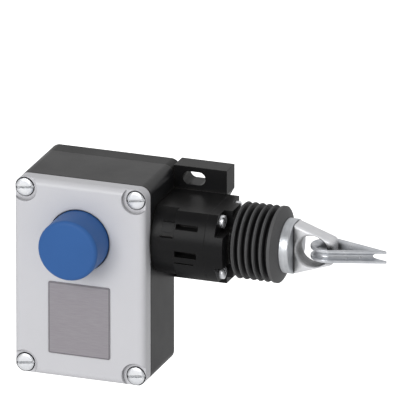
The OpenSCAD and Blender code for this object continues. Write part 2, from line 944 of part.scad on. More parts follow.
module reset_button() {
    r = button_edge_r;
    height = cap_back - cap_front;
    color("#3f639f")
        translate([0, cap_back, 0])
            rotate([90, 0, 0])
                difference() {
                    union() {
                        cylinder(r = button_d / 2, h = height - r);
                        cylinder(r = button_d / 2 - r, h = height);
                        translate([0, 0, height - r])
                            rotate_extrude()
                                translate([button_d / 2 - r, 0])
                                    circle(r);
                    }
                    // The hollow round the boss that takes the stem
                    rotate_extrude()
                        translate([cap_boss_r, -1])
                            square([button_d / 2 - cap_wall - cap_boss_r, cap_back - cap_inside + 1]);
                    translate([0, 0, -1])
                        cylinder(r = stem_r - 1 + fit, h = cap_back - cap_inside - 3);
                }
}

module reset_stem() {
    color("#b9bcc0")
        difference() {
            rotate([90, 0, 0])
                rotate_extrude()
                    polygon([[0, -stem_end], [0, -cap_inside - 4], [stem_r - 1, -cap_inside - 4],
                        [stem_r - 1, -cap_back], [stem_r, -cap_back], [stem_r, -stem_clip_start],
                        [stem_r - stem_clip_groove, -stem_clip_start],
                        [stem_r - stem_clip_groove, -stem_clip_end],
                        [stem_r, -stem_clip_end], [stem_r, -stem_step],
                        [stem_end_r, -stem_step], [stem_end_r, -stem_end]]);
            translate([-fork_t / 2 - skin, slot_end, -stem_r - 1])
                cube([fork_t + 2 * skin, fork_bridge_t + 1, 2 * stem_r + 2]);
            pin_hole(fork_pin_r + skin);
        }
}

// The cross hole that holds the fork in the stem's slot
module pin_hole(r) {
    translate([-stem_r - 1, (stem_end + slot_end) / 2, 0])
        rotate([0, 90, 0])
            cylinder(r = r, h = 2 * stem_r + 2);
}

module fork_pin() {
    color("#4a4c50")
        translate([-stem_end_r + 0.3, (stem_end + slot_end) / 2, 0])
            rotate([0, 90, 0])
                cylinder(r = fork_pin_r, h = 2 * stem_end_r - 0.6);
}

module stem_circlip() {
    color("#4a4c50")
        difference() {
            rotate([90, 0, 0])
                rotate_extrude()
                    translate([stem_r - stem_clip_groove + fit, -stem_clip_end + skin])
                        square([2.4, circlip_t - 2 * skin]);
            translate([-1.2, guide_back - 1, 0])
                cube([2.4, 4, 10]);
        }
}

module reset_fork() {
    color("#8d9095")
        difference() {
            translate([-fork_t / 2, slot_end, -fork_half - fork_arm])
                cube([fork_t, axis_y + fork_reach - slot_end, 2 * (fork_half + fork_arm)]);
            translate([-fork_t, stem_end, -fork_half])
                cube([2 * fork_t, 40, 2 * fork_half]);
            pin_hole(fork_pin_r + skin);
        }
}

module reset_spring() {
    color("#a8acb0")
        translate([0, well_floor, 0])
            rotate([90, 0, 0])
                coil(reset_mean_r, reset_wire_r, well_floor - cap_inside, 4, 20, 8);
}

// The four fixed contact places, as [side, height of the bridge]
contact_places = [for (x = [-1, 1], z = [upper_bridge, lower_bridge]) [x, z]];

module contact_block() {
    pocket_half_x = bridge_half + 0.4;
    pocket_half_y = 3;
    pocket_bottom = lower_bridge - bridge_t - plunger_travel - 1;
    pocket_top = upper_bridge + 2;
    color("#cfcabb")
        difference() {
            translate([plunger_x - block_w / 2, block_front, block_bottom])
                cube([block_w, block_back - block_front, block_h]);
            translate([plunger_x - chamber_half_x, axis_y - chamber_half_y, chamber_bottom])
                cube([2 * chamber_half_x, 2 * chamber_half_y, chamber_top - chamber_bottom]);
            translate([plunger_x, axis_y, chamber_top - 1])
                cylinder(r = plunger_r + fit, h = block_top - chamber_top + 2);
            // Side pockets for the bridges' travel
            translate([plunger_x - pocket_half_x, axis_y - pocket_half_y, pocket_bottom])
                cube([2 * pocket_half_x, 2 * pocket_half_y, pocket_top - pocket_bottom]);
            for (place = contact_places) {
                translate([plunger_x + place[0] * contact_x - strip_w / 2 - 0.1, block_front - 1,
                    place[1] + contact_gap - skin])
                    cube([strip_w + 0.2, axis_y + 2 - block_front + 1, strip_t + 2 * skin]);
                translate([plunger_x + place[0] * contact_x - terminal_w / 2, block_front - 1,
                    place[1] - terminal_below])
                    cube([terminal_w, terminal_front - block_front + 1, terminal_w]);
                post(plunger_x + place[0] * contact_x, place[1] + terminal_screw_up, terminal_hole_r,
                    block_front, terminal_front + 6);
            }
            for (x = [-1, 1], z = [upper_screw_z, lower_screw_z]) {
                post(plunger_x + x * block_screw_x, z, block_screw_r + 0.15, block_front - 1, block_back + 1);
                post(plunger_x + x * block_screw_x, z, block_screw_head_r + gap, block_front - 1,
                    block_screw_seat);
            }
        }
}

module block_screws() {
    color("#c9cbce")
        for (x = [-1, 1], z = [upper_screw_z, lower_screw_z])
            difference() {
                union() {
                    post(plunger_x + x * block_screw_x, z, block_screw_head_r,
                        block_screw_seat - block_screw_head_h, block_screw_seat);
                    post(plunger_x + x * block_screw_x, z, block_screw_r, block_screw_seat - 1, floor_y + 1);
                }
                translate([plunger_x + x * block_screw_x - 4, block_screw_seat - block_screw_head_h - 1,
                    z - 0.4])
                    cube([8, 2, 0.8]);
            }
}

module fixed_contacts() {
    color("#b87333")
        for (place = contact_places)
            translate([plunger_x + place[0] * contact_x - strip_w / 2, terminal_front + 0.3,
                place[1] + contact_gap])
                cube([strip_w, axis_y + 2 - terminal_front - 0.6, strip_t]);
}

module terminal_screws() {
    color("#c9cbce")
        for (place = contact_places)
            difference() {
                post(plunger_x + place[0] * contact_x, place[1] + terminal_screw_up, terminal_screw_r,
                    terminal_front - terminal_screw_h, terminal_front);
                translate([plunger_x + place[0] * contact_x - 4, terminal_front - terminal_screw_h - 1,
                    place[1] + terminal_screw_up - 0.4])
                    cube([8, 2, 0.8]);
            }
}

module plunger_pin() {
    color("#b9bcc0")
        translate([plunger_x, axis_y, 0]) {
            translate([0, 0, carrier_top])
                cylinder(r = plunger_r, h = tip_z - carrier_top);
            translate([0, 0, tip_z])
                sphere(plunger_r);
        }
}

module contact_carrier() {
    color("#7d2f2a")
        difference() {
            translate([plunger_x - chamber_half_x + gap, axis_y - chamber_half_y + gap, carrier_bottom])
                cube([2 * (chamber_half_x - gap), 2 * (chamber_half_y - gap), carrier_h]);
            for (z = [upper_bridge, lower_bridge])
                translate([plunger_x - 8, axis_y - bridge_w / 2 - skin, z - bridge_t - skin])
                    cube([16, bridge_w + 2 * skin, bridge_t + 2 * skin]);
        }
}

module contact_bridges() {
    color("#b87333")
        for (z = [upper_bridge, lower_bridge])
            translate([plunger_x - bridge_half, axis_y - bridge_w / 2, z - bridge_t])
                cube([2 * bridge_half, bridge_w, bridge_t]);
}

module plunger_spring() {
    color("#a8acb0")
        translate([plunger_x, axis_y, chamber_bottom])
            coil(carrier_spring_r, carrier_wire_r, carrier_bottom - chamber_bottom, 5, 12, 6);
}

module earth_screw() {
    head_back = floor_y - earth_boss_h - earth_washer_t;
    color("#c9a24a")
        difference() {
            union() {
                post(earth_x, earth_z, earth_head_r, head_back - earth_head_h, head_back);
                post(earth_x, earth_z, earth_screw_r, head_back - 1, floor_y - 0.5);
            }
            translate([earth_x - 5, head_back - earth_head_h - 1, earth_z - 0.5])
                cube([10, 2.2, 1]);
        }
}

module earth_washer() {
    color("#c9a24a")
        difference() {
            post(earth_x, earth_z, earth_washer_r, floor_y - earth_boss_h - earth_washer_t,
                floor_y - earth_boss_h);
            post(earth_x, earth_z, earth_screw_r + fit, floor_y - earth_boss_h - 3, floor_y);
        }
}

base_housing();
cover();
cover_gasket();
cover_screws();
label_plate();
head_casting();
base_screws();
head_gasket();
head_flange();
head_screws();
rear_bush();
front_bush();
rod_wiper();
bellows();
tension_spring();
pull_rod();
spring_seat();
rod_circlip();
switching_cam();
tail_nut();
end_disc();
eyelet();
rope_thimble();
stem_guide();
reset_button();
reset_stem();
stem_circlip();
reset_fork();
fork_pin();
reset_spring();
contact_block();
block_screws();
fixed_contacts();
terminal_screws();
plunger_pin();
contact_carrier();
contact_bridges();
plunger_spring();
earth_screw();
earth_washer();
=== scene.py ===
# %% [markdown]
# # Rope pull switch, from bare solids to a finished product
# A conveyor's emergency rope ends in this switch. A cast box with a grey cover holds the
# contacts and a blue reset button, a black pull head carries the rod, and a rubber bellows
# keeps dust off the rod where it leaves the head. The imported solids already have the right
# size and place, so this lesson only gives them edges, finishes, rubber, wire and light.

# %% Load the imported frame
import json
from math import cos, pi, radians, sin

import bmesh
import bpy
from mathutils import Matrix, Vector

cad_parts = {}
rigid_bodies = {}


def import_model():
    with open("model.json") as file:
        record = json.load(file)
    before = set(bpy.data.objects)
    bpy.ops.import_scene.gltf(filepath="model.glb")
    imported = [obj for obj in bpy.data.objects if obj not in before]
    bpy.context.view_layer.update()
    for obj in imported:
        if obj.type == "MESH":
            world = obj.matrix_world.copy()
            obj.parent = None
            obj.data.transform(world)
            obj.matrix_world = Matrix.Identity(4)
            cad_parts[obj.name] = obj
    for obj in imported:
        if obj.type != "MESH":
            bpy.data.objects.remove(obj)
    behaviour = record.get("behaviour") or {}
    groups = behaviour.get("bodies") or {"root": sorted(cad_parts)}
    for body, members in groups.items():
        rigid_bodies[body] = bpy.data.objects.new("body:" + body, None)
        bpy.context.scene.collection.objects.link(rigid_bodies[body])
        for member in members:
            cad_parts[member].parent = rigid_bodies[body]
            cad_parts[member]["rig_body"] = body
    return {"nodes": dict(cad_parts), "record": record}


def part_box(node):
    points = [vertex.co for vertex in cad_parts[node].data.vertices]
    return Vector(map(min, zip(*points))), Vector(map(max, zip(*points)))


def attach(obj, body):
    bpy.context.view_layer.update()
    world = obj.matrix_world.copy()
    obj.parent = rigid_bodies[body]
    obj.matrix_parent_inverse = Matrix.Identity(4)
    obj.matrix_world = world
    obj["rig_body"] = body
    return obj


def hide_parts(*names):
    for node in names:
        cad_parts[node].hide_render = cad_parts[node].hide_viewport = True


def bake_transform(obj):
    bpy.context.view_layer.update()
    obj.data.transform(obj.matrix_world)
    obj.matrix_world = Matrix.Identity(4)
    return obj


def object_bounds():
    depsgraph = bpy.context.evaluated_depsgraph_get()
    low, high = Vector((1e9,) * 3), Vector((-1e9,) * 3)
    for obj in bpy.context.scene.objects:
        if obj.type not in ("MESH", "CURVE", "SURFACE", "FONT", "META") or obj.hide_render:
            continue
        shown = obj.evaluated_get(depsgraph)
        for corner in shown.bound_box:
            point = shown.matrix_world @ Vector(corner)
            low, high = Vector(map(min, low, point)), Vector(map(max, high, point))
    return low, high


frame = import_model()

MM = 0.001
CAD_BOX = [list(corner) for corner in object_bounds()]
NODES = frame["nodes"]

# %% [markdown]
# ## A camera far away
# A catalogue view of a small device is taken from far off with a long lens, which keeps its
# edges almost parallel. A short lens close up would swell the near corner of the box. The
# distance is fixed first, and the lens follows from the width that has to fit the frame.

# %% Place the camera
AIM = Vector((65.6, -48.8, 27.9)) * MM
AZIMUTH, ELEVATION = 20, 20
FAR = 8.0
SEEN_WIDTH = 214.5 * MM


def direction(azimuth, elevation):
    """Azimuth 0 is the front and 90 the right, in degrees, and elevation 90 is straight above."""
    a, e = radians(azimuth), radians(elevation)
    return Vector((sin(a) * cos(e), -cos(a) * cos(e), sin(e)))


def look_at_aim(name, data, azimuth, elevation, distance):
    """Hangs a camera or a lamp at a distance in that direction, turned towards the aim."""
    holder = bpy.data.objects.new(name, data)
    holder.location = AIM + direction(azimuth, elevation) * distance
    holder.rotation_euler = (AIM - holder.location).to_track_quat("-Z", "Y").to_euler()
    bpy.context.scene.collection.objects.link(holder)
    return holder


lens = bpy.data.cameras.new("long_lens")
lens.sensor_width = 36
lens.lens = lens.sensor_width * FAR / SEEN_WIDTH
lens.clip_start, lens.clip_end = 0.5, 60
bpy.context.scene.camera = look_at_aim("camera", lens, AZIMUTH, ELEVATION, FAR)
print("lens", round(lens.lens, 1), "mm at", FAR, "m")

# %% [markdown]
# ## Building node trees
# Shader trees and geometry trees are built the same way, so a few short helpers serve both.
# One adds a node and feeds its sockets, with a number or with another node. The rest stand
# for the nodes that nearly every recipe needs: sums, ranges, the parts of a vector, noise and
# mixed colours. They keep each recipe below about as short as its idea.

# %% Helpers: a node and its sockets
def feed(tree, socket, value):
    """Links a socket to another node, or gives it a plain value."""
    if isinstance(value, bpy.types.NodeSocket):
        tree.links.new(value, socket)
    else:
        socket.default_value = value


def add(tree, kind, inputs=None, **settings):
    """A new node; its inputs go by name, or by number where two share a name."""
    node = tree.nodes.new(kind)
    for name, value in settings.items():
        setattr(node, name, value)
    for name, value in (inputs or {}).items():
        feed(tree, node.inputs[name], value)
    return node


def new_group(name, kind, inputs, outputs):
    """An empty group: each input has a sort and a first value, each output only a sort."""
    group = bpy.data.node_groups.new(name, kind)
    for label, (sort, value) in inputs.items():
        socket = group.interface.new_socket(label, in_out="INPUT", socket_type="NodeSocket" + sort)
        if value is not None:
            socket.default_value = value
    for label, sort in outputs.items():
        group.interface.new_socket(label, in_out="OUTPUT", socket_type="NodeSocket" + sort)
    return group, group.nodes.new("NodeGroupInput").outputs, group.nodes.new("NodeGroupOutput").inputs


print("node helpers ready")

# %% Helpers: sums and vectors
def calc(tree, operation, *values, clamp=False):
    inputs = dict(enumerate(values))
    return add(tree, "ShaderNodeMath", inputs, operation=operation, use_clamp=clamp).outputs[0]


def plus(tree, first, second):
    return calc(tree, "ADD", first, second)


def minus(tree, first, second):
    return calc(tree, "SUBTRACT", first, second)


def times(tree, first, second):
    return calc(tree, "MULTIPLY", first, second)


def over(tree, first, second):
    return calc(tree, "DIVIDE", first, second)


def shared(tree, first, share, second):
    """A share of the first value, and what is left of one of the second."""
    return plus(tree, times(tree, first, share), times(tree, second, 1.0 - share))


def diagonal(tree, first, second):
    """The distance that two distances at a right angle make."""
    return calc(tree, "SQRT", plus(tree, times(tree, first, first), times(tree, second, second)))


def spread(tree, value, low, high, new_low=0.0, new_high=1.0):
    """Moves the range from low to high to a new one, and cuts off what lies outside it."""
    return add(tree, "ShaderNodeMapRange", {
        "Value": value, "From Min": low, "From Max": high, "To Min": new_low, "To Max": new_high}).outputs[0]


def vector(tree, **parts):
    return add(tree, "ShaderNodeCombineXYZ", parts).outputs[0]


def parts_of(tree, whole):
    return add(tree, "ShaderNodeSeparateXYZ", {"Vector": whole}).outputs


print("sums ready")

# %% Helpers: places, noise and colours
def object_place(tree):
    return add(tree, "ShaderNodeTexCoord").outputs["Object"]


def noise(tree, place, scale, detail, **more):
    """Soft noise from 0 to 1, of which most lies near the middle."""
    return add(tree, "ShaderNodeTexNoise", {
        "Vector": place, "Scale": scale, "Detail": detail, **more}).outputs[0]


def mix_colour(tree, factor, first, second):
    return add(tree, "ShaderNodeMix", {0: factor, 6: first, 7: second}, data_type="RGBA").outputs[2]


def paint(hexcode):
    """A display colour such as 3f639f as the linear colour that shaders use."""
    shares = [int(hexcode[i:i + 2], 16) / 255 for i in (0, 2, 4)]
    return tuple([s / 12.92 if s <= 0.04045 else ((s + 0.055) / 1.055) ** 2.4 for s in shares] + [1.0])


print("colours ready, such as", [round(share, 2) for share in paint("34619f")])

# %% [markdown]
# ## The grain of moulded and cast skins
# Powder coat, moulded plastic and rubber all have a skin that is never quite flat. Fine bumps
# break up the highlight, and wide soft patches shift the tone by a hair. Both come from
# noise in object space, so the pattern stays put when a part moves.

# %% Group: skin grain
def skin_grain_group():
    tree, given, made = new_group(
        "skin_grain", "ShaderNodeTree",
        {"Grain Size": ("Float", 0.5 * MM), "Patch Size": ("Float", 25 * MM)},
        {"Height": "Float", "Patches": "Float"})
    place = object_place(tree)
    per_grain = over(tree, 1.0, given["Grain Size"])
    fine = noise(tree, place, per_grain, 2.0, Roughness=0.55)
    pits = add(tree, "ShaderNodeTexVoronoi", {
        "Vector": place, "Scale": times(tree, per_grain, 0.6), "Smoothness": 0.7}, feature="SMOOTH_F1")
    feed(tree, made["Height"], shared(tree, fine, 0.6, pits.outputs["Distance"]))
    patches = noise(tree, place, over(tree, 1.0, given["Patch Size"]), 3.0)
    feed(tree, made["Patches"], spread(tree, patches, 0.3, 0.7))
    return tree


SKIN_GRAIN = skin_grain_group()
print("group", SKIN_GRAIN.name)

# %% [markdown]
# ## Handled edges
# Paint thins on a corner and gets polished there. The Bevel node gives the direction the
# surface would face if its edges were rounded; where that differs from the true direction
# there is an edge. The same rounded direction softens the look of corners that stay sharp
# in the mesh.

# %% Group: handled edges
def handled_edge_group():
    tree, given, made = new_group(
        "handled_edge", "ShaderNodeTree",
        {"Radius": ("Float", 0.5 * MM), "Breakup": ("Float", 4 * MM)},
        {"Edge": "Float", "Round Normal": "Vector"})
    rounded = add(tree, "ShaderNodeBevel", {"Radius": given["Radius"]}, samples=6).outputs[0]
    flat = add(tree, "ShaderNodeNewGeometry").outputs["Normal"]
    same = add(tree, "ShaderNodeVectorMath", {0: rounded, 1: flat}, operation="DOT_PRODUCT").outputs["Value"]
    # The mask starts where the two directions part by 6 degrees and is full at 37.
    edge = spread(tree, same, 0.995, 0.8)
    breakup = noise(tree, object_place(tree), over(tree, 1.0, given["Breakup"]), 4.0)
    feed(tree, made["Edge"], times(tree, edge, spread(tree, breakup, 0.35, 0.65, 0.25, 1.0)))
    feed(tree, made["Round Normal"], rounded)
    return tree


HANDLED_EDGE = handled_edge_group()
print("group", HANDLED_EDGE.name)

# %% [markdown]
# ## Dust in the corners, and painted shade there
# Dust settles where a cloth can't get: inner corners and ledges. Ambient occlusion finds
# the corners, the upward part of the normal finds the ledges, and noise makes it uneven.
# The mask stays faint, because this switch is new. The corners alone are given out too, as the
# mask for painted shade in screw slots, round the cover's recesses and in the hole of the eye.

# %% Group: settled dust, and corners for painted shade
def dust_and_corner_shade_group():
    tree, given, made = new_group(
        "settled_dust", "ShaderNodeTree",
        {"Reach": ("Float", 3 * MM), "Amount": ("Float", 0.3)}, {"Dust": "Float", "Corner": "Float"})
    light = add(tree, "ShaderNodeAmbientOcclusion", {"Distance": given["Reach"]}, samples=6)
    corner = spread(tree, light.outputs["AO"], 0.85, 0.3)
    up = parts_of(tree, add(tree, "ShaderNodeNewGeometry").outputs["Normal"])["Z"]
    ledge = times(tree, spread(tree, up, 0.6, 1.0), 0.35)
    uneven = spread(tree, noise(tree, object_place(tree), 260.0, 5.0), 0.35, 0.7, 0.2, 1.0)
    heap = times(tree, calc(tree, "MAXIMUM", corner, ledge), uneven)
    feed(tree, made["Dust"], calc(tree, "MULTIPLY", heap, given["Amount"], clamp=True))
    feed(tree, made["Corner"], corner)
    return tree


DUST_AND_CORNER_SHADE = dust_and_corner_shade_group()
print("group", DUST_AND_CORNER_SHADE.name)

# %% [markdown]
# ## Marks of the lathe
# Turned steel carries fine rings round its axis, some brighter than others. The ring pattern
# is one-dimensional noise: on end faces it runs with the distance from the axis, on the rim
# with the distance along it. Adding both gives each face its own rings.

# %% Group: turned rings
def turned_ring_group():
    tree, given, made = new_group(
        "turned_rings", "ShaderNodeTree",
        {"Axis Y": ("Float", 0.0), "Axis Z": ("Float", 0.0), "Ring Pitch": ("Float", 0.2 * MM)},
        {"Height": "Float", "Rings": "Float"})
    at = parts_of(tree, object_place(tree))
    radius = diagonal(tree, minus(tree, at["Y"], given["Axis Y"]), minus(tree, at["Z"], given["Axis Z"]))
    along = over(tree, plus(tree, radius, at["X"]), given["Ring Pitch"])

    def ring_noise(step, detail):
        return add(tree, "ShaderNodeTexNoise", {"W": step, "Scale": 1.0, "Detail": detail},
                   noise_dimensions="1D").outputs[0]

    fine, broad = ring_noise(along, 2.0), ring_noise(times(tree, along, 0.13), 1.0)
    feed(tree, made["Height"], fine)
    feed(tree, made["Rings"], shared(tree, fine, 0.4, broad))
    return tree


TURNED_RINGS = turned_ring_group()
print("group", TURNED_RINGS.name)

# %% [markdown]
# ## The bloom of zinc plating
# Zinc plate is bright but never even: cloudy areas are a little rougher and a little bluer or
# warmer than the rest, and handling leaves faint scratches. One group gives the cloud, the
# scratches and a fine height to every plated piece.

# %% Group: plated bloom
def plated_bloom_group():
    tree, given, made = new_group(
        "plated_bloom", "ShaderNodeTree",
        {"Cloud Size": ("Float", 5 * MM), "Scratch Size": ("Float", 0.5 * MM)},
        {"Cloud": "Float", "Scratches": "Float", "Height": "Float"})
    place = object_place(tree)
    cloud = noise(tree, place, over(tree, 1.0, given["Cloud Size"]), 5.0, Distortion=0.4)
    feed(tree, made["Cloud"], spread(tree, cloud, 0.3, 0.7))
    drawn_out = add(tree, "ShaderNodeMapping", {
        "Vector": place, "Rotation": (0.4, 0.9, 0.3), "Scale": (1.0, 0.05, 1.0)}).outputs[0]
    hair = noise(tree, drawn_out, over(tree, 1.0, given["Scratch Size"]), 2.0)
    feed(tree, made["Scratches"], spread(tree, hair, 0.6, 0.72))
    feed(tree, made["Height"], hair)
    return tree


PLATED_BLOOM = plated_bloom_group()
print("group", PLATED_BLOOM.name)

# %% [markdown]
# ## Painted and moulded finishes
# The coated castings, the mouldings and the seals share one recipe with different values:
# a base colour that drifts in patches, a lighter handled edge, a trace of dust, painted shade
# in the corners where it is asked for, and a grain in the normal. The shader itself and its
# fixed numbers stay in each material.

# %% Helpers: start a material and use a group
def start_material(name):
    material = bpy.data.materials.new(name)
    material.use_nodes = True
    tree = material.node_tree
    return material, tree, tree.nodes["Principled BSDF"]


def use(tree, group, **values):
    """Puts a group in a material; Grain_Size here is the group's input Grain Size."""
    inputs = {label.replace("_", " "): value for label, value in values.items()}
    return add(tree, "ShaderNodeGroup", inputs, node_tree=group).outputs


def bump(tree, shader, **inputs):
    feed(tree, shader.inputs["Normal"], add(tree, "ShaderNodeBump", inputs).outputs[0])


print("material helpers ready")

# %% Recipe for coated and moulded skins
PATCH_SIZE = 24 * MM
EDGE_SHOWS, EDGE_POLISH = 0.6, 0.08
GLOSS_DRIFT = 0.04
DUST_DULLS = 0.3
# The second colour is the black of painted shade in corners.
DUST_GREY, CORNER_SHADE_BLACK = paint("8c8880"), paint("1c1c1f")


def tinted(colour, share):
    return tuple([channel * share for channel in colour[:3]] + [1.0])


def skin_material(name, colour, edge_colour, rough, grain, depth, edge_radius, dust,
                  drift=0.06, specular=0.5, painted_shade=0.0):
    """Grain size, grain depth and edge radius are in millimetres."""
    material, tree, shader = start_material(name)
    skin = use(tree, SKIN_GRAIN, Grain_Size=grain * MM, Patch_Size=PATCH_SIZE)
    edge = use(tree, HANDLED_EDGE, Radius=edge_radius * MM)
    dust_and_shade = use(tree, DUST_AND_CORNER_SHADE, Amount=dust)
    base = paint(colour)
    tone = mix_colour(tree, skin["Patches"], tinted(base, 1 - drift), tinted(base, 1 + drift))
    worn = mix_colour(tree, times(tree, edge["Edge"], EDGE_SHOWS), tone, paint(edge_colour))
    # Painted shade: the colour darkens towards black where ambient occlusion finds a corner.
    worn = mix_colour(tree, times(tree, dust_and_shade["Corner"], painted_shade), worn, CORNER_SHADE_BLACK)
    feed(tree, shader.inputs["Base Color"], mix_colour(tree, dust_and_shade["Dust"], worn, DUST_GREY))
    gloss = spread(tree, skin["Patches"], 0.0, 1.0, rough - GLOSS_DRIFT, rough + GLOSS_DRIFT)
    gloss = plus(tree, gloss, times(tree, edge["Edge"], -EDGE_POLISH))
    dulled = times(tree, dust_and_shade["Dust"], DUST_DULLS)
    feed(tree, shader.inputs["Roughness"], calc(tree, "ADD", gloss, dulled, clamp=True))
    bump(tree, shader, Strength=0.6, Distance=depth * MM, Height=skin["Height"], Normal=edge["Round Normal"])
    shader.inputs["Specular IOR Level"].default_value = specular
    return material


# %% Mix the coats and the mouldings
BASE_COAT = skin_material(
    "black_body_coat", "1b1b1d", "3c3c3f", rough=0.36, grain=0.5, depth=0.05, edge_radius=0.5, dust=0.12,
    specular=0.3)
# The cover gets painted shade in its recesses and round its screws.
COVER_COAT = skin_material(
    "pale_grey_coat", "d2d2d6", "e2e2e6", rough=0.36, grain=0.6, depth=0.035, edge_radius=0.5, dust=0.1,
    drift=0.015, painted_shade=0.6)
HEAD_COAT = skin_material(
    "black_head_coat", "131314", "2e2e30", rough=0.33, grain=0.6, depth=0.045, edge_radius=0.4, dust=0.08,
    specular=0.14)
BUTTON_BLUE = skin_material(
    "blue_moulding", "34619f", "4f77b5", rough=0.45, grain=0.35, depth=0.02, edge_radius=0.4, dust=0.08,
    drift=0.03, specular=0.2)
SEAL_RUBBER = skin_material(
    "seal_rubber", "0e0e10", "161617", rough=0.85, grain=0.3, depth=0.04, edge_radius=0.2, dust=0.1,
    specular=0.1)
CONTACT_PLASTIC = skin_material(
    "cream_moulding", "d9d5c6", "e6e3d8", rough=0.45, grain=0.35, depth=0.03, edge_radius=0.2, dust=0.1,
    drift=0.03)
SIGNAL_RED = skin_material(
    "red_moulding", "b32c26", "cc5148", rough=0.4, grain=0.35, depth=0.03, edge_radius=0.2, dust=0.1)
print("coated and moulded finishes ready")

# %% [markdown]
# ## Rubber with painted light on its crests and painted shade in its grooves
# The folds of a rubber bellows rub pale where they stand out. The colour also carries painted
# light: a painted highlight on the crests and painted shade in the grooves. The distance from
# the pull axis tells the two apart, so both follow the folds. The cone behind the last fold is
# one smooth face that rubs all over, so it is paler as a whole.

# %% Make the bellows' rubber
PULL_AXIS_Y, PULL_AXIS_Z = -27.4 * MM, 0.0
GROOVE_RADIUS, CREST_RADIUS = 17.8 * MM, 20.4 * MM
CONE_BEGINS, CONE_FULL = 102.6 * MM, 103.4 * MM
CONE_STAYS_DARK = 0.2


def rubber_with_painted_crest_light(name, groove, crest):
    material, tree, shader = start_material(name)
    skin = use(tree, SKIN_GRAIN, Grain_Size=0.25 * MM, Patch_Size=9 * MM)
    at = parts_of(tree, object_place(tree))
    radius = diagonal(tree, minus(tree, at["Y"], PULL_AXIS_Y), minus(tree, at["Z"], PULL_AXIS_Z))
    cone = spread(tree, at["X"], CONE_BEGINS, CONE_FULL)
    # Painted light: the colour runs from painted shade in the grooves to a painted highlight on the crests,
    # with some real rubbing.
    rub_and_painted_light = calc(tree, "MAXIMUM", spread(tree, radius, GROOVE_RADIUS, CREST_RADIUS), cone)
    rub_and_painted_light = minus(tree, rub_and_painted_light, times(tree, cone, CONE_STAYS_DARK))
    rub_and_light_share = times(tree, rub_and_painted_light, spread(tree, skin["Patches"], 0.0, 1.0, 0.85, 1.0))
    feed(tree, shader.inputs["Base Color"], mix_colour(tree, rub_and_light_share, paint(groove), paint(crest)))
    feed(tree, shader.inputs["Roughness"], spread(tree, skin["Patches"], 0.0, 1.0, 0.5, 0.6))
    bump(tree, shader, Strength=0.5, Distance=0.03 * MM, Height=skin["Height"])
    shader.inputs["Specular IOR Level"].default_value = 0.3
    return material


BELLOWS_RUBBER = rubber_with_painted_crest_light("bellows_rubber", "141415", "666667")
print("rubber ready")

# %% [markdown]
# ## Bare and plated metals
# The screws and the thimble are zinc plated, the disc is turned, the eye is forged and plated,
# and inside are brass, bronze, copper and blackened clips. A metal's colour is its mirror
# colour, so the cloud and the scratches go mostly into roughness. Two finishes add a layer of
# their own: rings for what came off a lathe, and a coarse skin for what was forged or sintered.
# Painted shade darkens the screw slots, the thimble's corners and most of all the hole of the eye.

# %% Recipe for metals
METAL_EDGE, METAL_BREAKUP = 0.25 * MM, 2 * MM
EDGE_GLINT, RING_GREY = (0.9, 0.9, 0.9, 1.0), (0.5, 0.51, 0.53, 1.0)
CLOUD_SIZE, RING_PITCH = 4 * MM, 0.18 * MM
# Painted shade: the black that corners and hollows are darkened towards.
INSIDE_SHADE_BLACK = paint("121214")
SMOOTHEST = 0.05


def metal_material(name, colour, clouded, rough, height=0.01, lathe=False, forged=0.0, painted_shade=0.0,
                   shade_reach=0.0, metallic=1.0):
    """Height, the grain of a forged skin and the distance of the painted corner shade are in millimetres."""
    material, tree, shader = start_material(name)
    bloom = use(tree, PLATED_BLOOM, Cloud_Size=CLOUD_SIZE)
    edge = use(tree, HANDLED_EDGE, Radius=METAL_EDGE, Breakup=METAL_BREAKUP)
    tone = mix_colour(tree, bloom["Cloud"], paint(colour), paint(clouded))
    tone = mix_colour(tree, times(tree, edge["Edge"], 0.4), tone, EDGE_GLINT)
    gloss = spread(tree, bloom["Cloud"], 0.0, 1.0, rough - 0.04, rough + 0.08)
    gloss = plus(tree, gloss, times(tree, bloom["Scratches"], 0.1))
    raised = bloom["Height"]
    if lathe:
        rings = use(tree, TURNED_RINGS, Axis_Y=PULL_AXIS_Y, Axis_Z=PULL_AXIS_Z, Ring_Pitch=RING_PITCH)
        tone = mix_colour(tree, spread(tree, rings["Rings"], 0.35, 0.65, 0.0, 0.2), tone, RING_GREY)
        gloss = plus(tree, gloss, spread(tree, rings["Rings"], 0.3, 0.7, -0.05, 0.08))
        raised = rings["Height"]
    if forged:
        skin = use(tree, SKIN_GRAIN, Grain_Size=forged * MM)
        raised = plus(tree, skin["Height"], times(tree, raised, 0.2))
    # Painted shade: darker towards black where ambient occlusion finds a corner or a hollow.
    if painted_shade:
        inside = use(tree, DUST_AND_CORNER_SHADE, Reach=shade_reach * MM)["Corner"]
        tone = mix_colour(tree, times(tree, inside, painted_shade), tone, INSIDE_SHADE_BLACK)
    feed(tree, shader.inputs["Base Color"], tone)
    feed(tree, shader.inputs["Roughness"], calc(tree, "MAXIMUM", gloss, SMOOTHEST, clamp=True))
    bump(tree, shader, Strength=0.5, Distance=height * MM, Height=raised, Normal=edge["Round Normal"])
    shader.inputs["Metallic"].default_value = metallic
    return material


